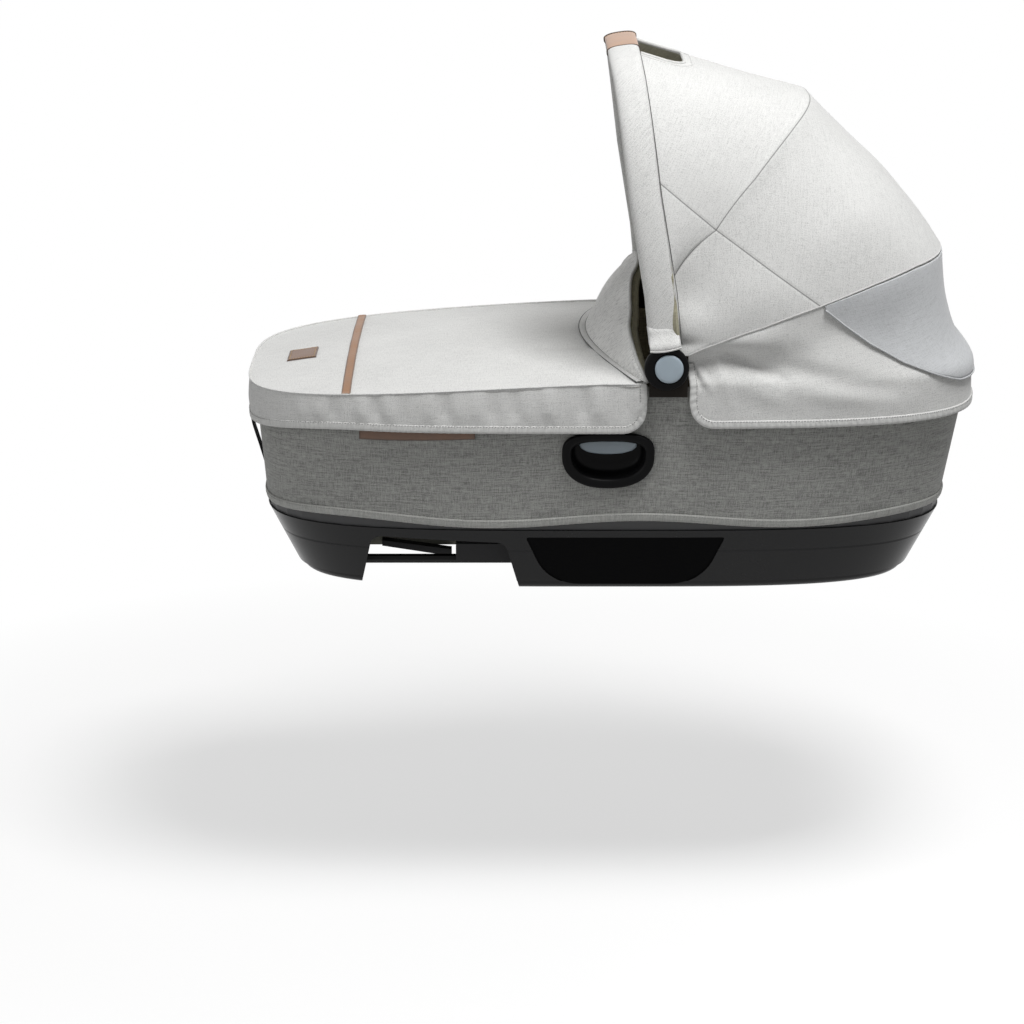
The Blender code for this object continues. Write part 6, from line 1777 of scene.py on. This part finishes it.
class CARRYCOT_OT_apron(bpy.types.Operator):
    """Make the apron, its wind flap, strips and label patch."""

    bl_idname = "carrycot.apron"
    bl_label = "Apron"

    def execute(self, context):
        a = plain("carrycot_apron")
        b = plain("carrycot_body")
        colours = plain("carrycot_finish")
        self.make_sides(a, b, colours)
        trims = self.make_top(a, b, colours)
        self.make_flap(a, b, colours)
        trims += self.make_trim(a, b, colours)
        cloth(self.top, "stretched", "tub", with_pieces=trims)
        return {"FINISHED"}

    def make_sides(self, a, b, colours):
        """Drop sides under the perimeter seam, with puckers and a bound hem."""
        line = apron_outline(a, 721)
        run = along(line)
        radial = unit(line)
        straight = np.clip((0.30 - np.abs(line[:, 0] + 0.10)) / 0.1, 0.25, 1.0)
        pucker = np.sin(run * 118 + 2.6 * np.sin(run * 23)) + 0.6 * np.sin(run * 247 + 0.7)
        hem = apron_hem(a, line[:, 0])
        top = rim_height(b, line[:, 0]) + a.rise
        rows = []
        for share in np.linspace(0.0, 1.0, 34):
            z = hem + share * (top - hem)
            bulge = 0.0014 * math.sin(math.pi * share) - 0.0004 * (1 - share)
            fade = min(max((share - 0.15) / 0.3, 0.0), 1.0) * math.sin(math.pi * min(share * 0.93 + 0.05, 1.0)) ** 0.8
            xy = line + radial * (bulge + 0.0014 * fade * straight * pucker)[:, None]
            rows.append(spots(*xy.T, z))
        rows = np.array(rows)
        sides = sheet_mesh("apron_sides", rows, (-0.2, 0.0, 0.22), 0.0022,
                          materials=(melange(colours), lining(colours)))
        finish(sides, "apron", "apron", slot="melange_fabric")
        edge = np.concatenate([rows[1:, 0][::-1], rows[0], rows[1:, -1]])
        cloth(sides, "hung", "side_skirt", with_pieces=bound_hem("apron_hem", "apron", edge, 900, colours))

    def make_top(self, a, b, colours):
        """Padded top from the perimeter seam to the wind flap's seam."""
        line = apron_outline(a, 721)
        parts = np.linspace(-1.0, 1.0, len(line))
        edge_y = a.half_width * parts * 0.985
        edge = np.stack([apron_edge(a, edge_y), edge_y], axis=1)
        rows = []
        for share in np.linspace(0.0, 1.0, 110) ** 1.3:
            x, y = (line + (edge - line) * share).T
            rows.append(spots(x, y, apron_height(b, a, x, y) + apron_quilt(x, y) * min(share * 8, 1.0)))
        rows = np.array(rows)
        item = sheet_mesh("apron_top", rows, (-0.2, 0.0, 0.1), 0.0022, wrap=True,
                          materials=(melange(colours), lining(colours)))
        seen_from_above = read(item.data.vertices, "co")[:, :2]
        write(item.data.uv_layers[0].data, "uv", seen_from_above[corner_vertices(item)])
        finish(item, "apron", slot="melange_fabric")
        self.top = item
        ring = spots(*line.T, rim_height(b, line[:, 0]) + a.rise + 0.0006)
        piping = cord_line("apron_piping", ring, 0.0010, 8, (0.0, 0.0, 1.0))
        dress(piping, "apron", melange(colours), slot="melange_fabric")
        return [piping]

    def make_flap(self, a, b, colours):
        """Raised collar along the apron's head edge, bound at its top."""
        across = np.linspace(-1.0, 1.0, 241)
        y = 0.2138 * across
        foot_x = apron_edge(a, y) - 0.002
        foot = spots(foot_x, y, apron_height(b, a, foot_x, y) + 0.0004)
        crest = 1 - np.abs(across) ** 2.2
        head = evened(spots(table(FLAP_X, np.abs(y)), y * (1 - 0.03 * crest), table(FLAP_Z, np.abs(y))), 12)
        rows = []
        for share in np.linspace(0.0, 1.0, 48):
            point = foot + (head - foot) * share
            bulge = 0.0030 * math.sin(math.pi * share) * crest + 0.0009 * np.sin(y * 75 + share * 7) * share
            point[:, 0] -= bulge
            point[:, 2] += bulge
            rows.append(point)
        rows = np.array(rows)
        item = sheet_mesh("wind_flap_fabric", rows, (0.2, 0.0, 0.28), 0.003,
                          materials=(flap_weave(colours), lining(colours)))
        finish(item, "apron", "wind_flap", slot="melange_fabric")
        edge = cord_line("wind_flap_binding", rows[-1] + np.array([0.0013, 0.0, 0.0]), 0.0020, 8)
        dress(edge, "apron", piping_fabric(colours), slot="melange_fabric")
        narrow = np.clip((0.2145 - np.abs(y)) / 0.012, 0.15, 1.0)[:, None]
        curl = [rows[-1] + np.array([0.0022 + 0.009 * part, 0.0, -0.0020 - 0.0030 * part ** 2]) * narrow
                for part in np.linspace(0.0, 1.0, 6)]
        facing = sheet_mesh("wind_flap_facing", np.array(curl), (0.0, 0.0, 0.0), 0.0012)
        dress(facing, "apron", canopy_lining(), slot="lining_fabric")
        band = []
        for out, up in FLAP_BAND:
            x = foot_x + out
            band.append(spots(x, y, apron_height(b, a, x, y) + up + 0.0008))
        strip = sheet_mesh("wind_flap_band", np.array(band), (0.0, 0.0, 0.1))
        dress(strip, "apron", piping_fabric(colours), slot="melange_fabric")
        trims = [edge, facing]
        for name, out in (("band_seam_outer", -0.0072), ("band_seam_inner", 0.0004)):
            x = foot_x + out
            path = spots(x, y, apron_height(b, a, x, y) + 0.0010)
            # Each band seam is a thin dark cord: painted shade along the seam.
            seam = cord_line(name, path, 0.00055, 5, (0.0, 0.0, 1.0))
            dress(seam, "apron", dark_thread(colours), slot="melange_fabric")
            trims.append(seam)
        cloth(item, "folded", "apron_top", with_pieces=trims)

    def make_trim(self, a, b, colours):
        """Tan strip across the apron and the bare patch near the foot."""
        end = a.half_width * (1 - (0.300 / a.half_length) ** PLAN_EXPONENT) ** (1 / PLAN_EXPONENT) - 0.0015
        y = np.linspace(-end, end, 181)
        rows, edges = [], []
        for out, up in TAN_PROFILE:
            rows.append(laid_on_apron(b, a, TAN_X + out + 0 * y, y, up + 0.0003))
            edges.append(np.full_like(y, 0.0050 - abs(out)))
        item = sheet_mesh("tan_strip", np.array(rows), (TAN_X, 0.0, 0.1), marks={"edge": np.array(edges)})
        dress(item, "apron", leather("tan_leather", colours.tan), "trim_strip", slot="leather_tan")
        u, v = np.meshgrid(np.linspace(-1, 1, 35), np.linspace(-1, 1, 45))
        brim = np.minimum(PATCH_HALF_X * (1 - np.abs(u)), PATCH_HALF_Y * (1 - np.abs(v)))
        up = 0.0004 + 0.0014 * np.clip(brim / 0.0012, 0.0, 1.0) ** 0.5
        up -= 0.0005 * np.exp(-((brim - PATCH_SEAM) / 0.0006) ** 2)
        points = laid_on_apron(b, a, PATCH_X + PATCH_HALF_X * u, PATCH_Y + PATCH_HALF_Y * v, up)
        patch = sheet_mesh("patch_leather", points, (PATCH_X, 0.0, 0.1), marks={"edge": brim})
        dress(patch, "apron", brown_leather(colours), "label_patch", slot="leather_brown")
        loop = [(-1, -1), (1, -1), (1, 1), (-1, 1), (-1, -1)]
        path = np.concatenate([np.linspace(loop[k], loop[k + 1], 30)[:-1] for k in range(4)])
        x = PATCH_X + (PATCH_HALF_X - PATCH_SEAM) * path[:, 0]
        y = PATCH_Y + (PATCH_HALF_Y - PATCH_SEAM) * path[:, 1]
        stitches = stitch_row("patch_stitches", laid_on_apron(b, a, x, y, 0.0017), (0.0, 0.0, 1.0))
        dress(stitches, "apron", tan_thread(), slot="leather_tan")
        return [item, patch, stitches]


PAD_PROFILE = ((0.02, 0.172), (0.02, 0.10), (0.02, 0.020), (0.0, 0.008), (0.10, 0.0025), (0.30, 0.0),
               (0.55, 0.0), (0.80, 0.0015), (0.95, 0.0060), (1.02, 0.014), (1.08, 0.030), (1.13, 0.060),
               (1.16, 0.100), (1.17, 0.140), (1.17, 0.172))


class CARRYCOT_OT_inside(bpy.types.Operator):
    """Make the padded lining and the mattress, and dress the tub and board."""

    bl_idname = "carrycot.inside"
    bl_label = "Inside"

    def execute(self, context):
        b = plain("carrycot_body")
        colours = plain("carrycot_finish")
        self.make_lining(b, colours)
        self.make_mattress(b)
        paint("tub", plastic("tub_plastic", (0.02, 0.02, 0.021), 0.5))
        paint("mattress_board", matte_plastic(colours))
        return {"FINISHED"}

    def make_lining(self, b, colours):
        """Padded wall, rolled over the rim, with sewn channels."""
        turns = body_turns(b, 361)
        low = 0.0795
        rows = []
        for share in np.linspace(0.0, 1.0, 30):
            row = wall(b, turns, lambda x: low + share * (rim_height(b, x) - 0.004 - low), -0.0238)
            run = run if rows else along(row)
            stand_out(row, -0.0022 * np.abs(np.sin(run * 14.5)) ** 0.5 * math.sin(math.pi * share) ** 0.4)
            rows.append(row)
        for inset, drop in ((0.0228, 0.0012), (0.0205, -0.0002), (0.0150, -0.0004), (0.0080, -0.0004),
                            (0.0040, -0.0002), (0.0030, 0.0010)):
            rows.append(wall(b, turns, lambda x: rim_height(b, x) - drop, -inset))
        item = sheet_mesh("lining", np.array(rows), (0.0, 0.0, 0.15), wrap=True,
                          materials=(lining(colours),))
        item.data.flip_normals()
        thicken(item, 0.0012)
        finish(item, "root", "inner_lining", "foam_liner", slot="lining_fabric")

    def make_mattress(self, b):
        """Padded mattress, swollen by a short cloth simulation."""
        half_length, half_width = body_halves(b, 0.10)
        inset = 0.0290 + 0.0075
        item = self.pad_mesh(float(half_length) - inset, float(half_width) - inset, 0.0829, 0.0340,
                             float(body_middle(b, 0.10)))
        self.swell(item)
        finish_shading(item, 180.0)
        dress(item, "root", quilt_cover("mattress_cover"), "mattress", slot="mattress_white")

    def pad_mesh(self, half_length, half_width, low, height, middle):
        """Crowned closed pad whose sides draw in between its seams."""
        turns = even_turns(lambda t: plan(half_length, half_width, t), 0.0, math.tau, 241)
        rows = []
        for rise, inset in PAD_PROFILE:
            x, y = plan(half_length - inset, half_width - inset, turns)
            rows.append(spots(x + middle, y, low + rise * height))
        item = sheet_mesh("mattress_pad", np.array(rows), (0.0, 0.0, low + height / 2), wrap=True)
        cap_ends(item)
        return item

    def swell(self, item):
        """Remesh the pad, fill it with pressure and keep the result."""
        remesh = item.modifiers.new("remesh", "REMESH")
        remesh.mode = "VOXEL"
        remesh.voxel_size = 0.006
        apply_modifiers(item)
        before = read(item.data.vertices, "co")
        low = before[:, 2].min()
        pinned = item.vertex_groups.new(name="resting")
        pinned.add([int(k) for k in np.nonzero(before[:, 2] < low + 0.004)[0]], 1.0, "REPLACE")
        modifier = item.modifiers.new("cloth", "CLOTH")
        cloth = modifier.settings
        cloth.quality = 4
        cloth.use_pressure = True
        cloth.uniform_pressure_force = 4.0
        cloth.effector_weights.gravity = 0.0
        cloth.vertex_group_mass = "resting"
        cloth.tension_stiffness = 20
        cloth.compression_stiffness = 20
        scene = bpy.context.scene
        for frame_number in range(1, 21):
            scene.frame_set(frame_number)
        apply_modifiers(item)
        scene.frame_set(1)
        move = read(item.data.vertices, "co") - before
        size = np.linalg.norm(move, axis=1)
        move *= np.minimum(1.0, 0.005 / np.maximum(size, 1e-9))[:, None]
        write(item.data.vertices, "co", before + move)
        item.data.update()


LAMPS = (
    ("key", (0.66, -1.00, 2.90), (0.0, 0.0, 0.2), 1.0, 80.0),
    ("front", (-2.40, -1.60, 1.10), (0.0, 0.0, 0.25), 1.4, 12.0),
    ("rear", (1.8, 2.4, 1.8), (0.0, 0.0, 0.2), 1.6, 14.0),
)


def direct_rays(tree):
    """One for rays from the camera, glossy rays and rays through a piece."""
    rays = node(tree, "LightPath").outputs
    others = math_node(tree, "MAXIMUM", rays["Is Glossy Ray"], rays["Is Transmission Ray"])
    return math_node(tree, "MAXIMUM", rays["Is Camera Ray"], others)


class CARRYCOT_OT_stage(bpy.types.Operator):
    """Make the white floor, the soft lights and the camera."""

    bl_idname = "carrycot.stage"
    bl_label = "Stage"

    def execute(self, context):
        self.make_camera(context)
        self.make_floor()
        self.make_lights(context)
        context.scene.view_settings.view_transform = "Standard"
        return {"FINISHED"}

    def make_camera(self, context):
        clear_selection()
        bpy.ops.object.camera_add(location=(-0.112444, -3.521331, 1.048482),
                                  rotation=(math.radians(74.0693), 0.0, 0.0))
        camera = bpy.context.object
        camera.name = "photo_camera"
        camera.data.lens = 109.588
        camera.data.sensor_width = 36.0
        camera.data.clip_start = 0.1
        camera.data.clip_end = 100.0
        context.scene.camera = camera

    def make_floor(self):
        """Pale floor that keeps the shadow and fades to plain white."""
        clear_selection()
        bpy.ops.mesh.primitive_plane_add(size=60.0, location=(0.0, 0.0, -0.38))
        floor = bpy.context.object
        floor.name = "floor"
        material = bpy.data.materials.new("white_floor")
        material.use_nodes = True
        tree = material.node_tree
        tree.nodes.clear()
        diffuse = node(tree, "BsdfDiffuse", {"Color": (0.50, 0.50, 0.50)}).outputs[0]
        glow = node(tree, "Emission", {"Strength": 0.53}).outputs[0]
        white = node(tree, "Emission").outputs[0]
        near = node(tree, "AddShader", {0: diffuse, 1: glow}).outputs[0]
        place = node(tree, "Mapping", {"Location": (0.146, -0.082, 0.0), "Vector": object_place(tree)})
        reach = tree.nodes.new("ShaderNodeVectorMath")
        reach.operation = "LENGTH"
        feed(tree, reach.inputs[0], place.outputs["Vector"])
        far = math_node(tree, "MULTIPLY", math_node(tree, "SUBTRACT", reach.outputs["Value"], 0.62), 2.2, clamp=True)
        seen = node(tree, "MixShader", {0: far, 1: near, 2: white}).outputs[0]
        both = node(tree, "MixShader", {0: direct_rays(tree), 1: diffuse, 2: seen}).outputs[0]
        node(tree, "OutputMaterial", {"Surface": both})
        floor.data.materials.append(material)

    def make_lights(self, context):
        world = bpy.data.worlds.new("studio")
        context.scene.world = world
        world.use_nodes = True
        tree = world.node_tree
        back = tree.nodes["Background"]
        strength = scaled_up(tree, direct_rays(tree), 0.75, 0.25)
        feed_all(tree, back, {"Color": (1.0, 1.0, 1.0), "Strength": strength})
        for name, place, target, size, watts in LAMPS:
            clear_selection()
            bpy.ops.object.light_add(type="AREA", location=place)
            lamp = bpy.context.object
            lamp.name = name + "_light"
            lamp.data.shape = "SQUARE"
            lamp.data.size = size
            lamp.data.energy = watts
            way = Vector(target) - Vector(place)
            lamp.rotation_euler = way.to_track_quat("-Z", "Y").to_euler()


class CARRYCOT_PT_panel(bpy.types.Panel):
    """Lists the carrycot's sizes, colours and pieces."""

    bl_label = "Carrycot"
    bl_idname = "CARRYCOT_PT_panel"
    bl_space_type = "VIEW_3D"
    bl_region_type = "UI"
    bl_category = "Carrycot"

    def draw(self, context):
        layout = self.layout
        for operator in OPERATORS:
            layout.operator(operator.bl_idname)
        for name, group in GROUPS:
            box = layout.box()
            box.label(text=group.__doc__)
            settings = getattr(context.scene, name)
            for key in group.__annotations__:
                box.prop(settings, key)


OPERATORS = (
    CARRYCOT_OT_stage,
    CARRYCOT_OT_base,
    CARRYCOT_OT_inside,
    CARRYCOT_OT_skirt,
    CARRYCOT_OT_hubs,
    CARRYCOT_OT_handle,
    CARRYCOT_OT_canopy,
    CARRYCOT_OT_apron,
)


def register():
    for name, group in GROUPS:
        bpy.utils.register_class(group)
        setattr(bpy.types.Scene, name, bpy.props.PointerProperty(type=group))
    for operator in OPERATORS:
        bpy.utils.register_class(operator)
    bpy.utils.register_class(CARRYCOT_PT_panel)


def unregister():
    bpy.utils.unregister_class(CARRYCOT_PT_panel)
    for operator in reversed(OPERATORS):
        bpy.utils.unregister_class(operator)
    for name, group in reversed(GROUPS):
        delattr(bpy.types.Scene, name)
        bpy.utils.unregister_class(group)


def main():
    register()
    bpy.ops.carrycot.stage()
    bpy.ops.carrycot.base()
    bpy.ops.carrycot.inside()
    bpy.ops.carrycot.skirt()
    bpy.ops.carrycot.hubs()
    bpy.ops.carrycot.handle()
    bpy.ops.carrycot.canopy()
    bpy.ops.carrycot.apron()


if __name__ == "__main__":
    main()
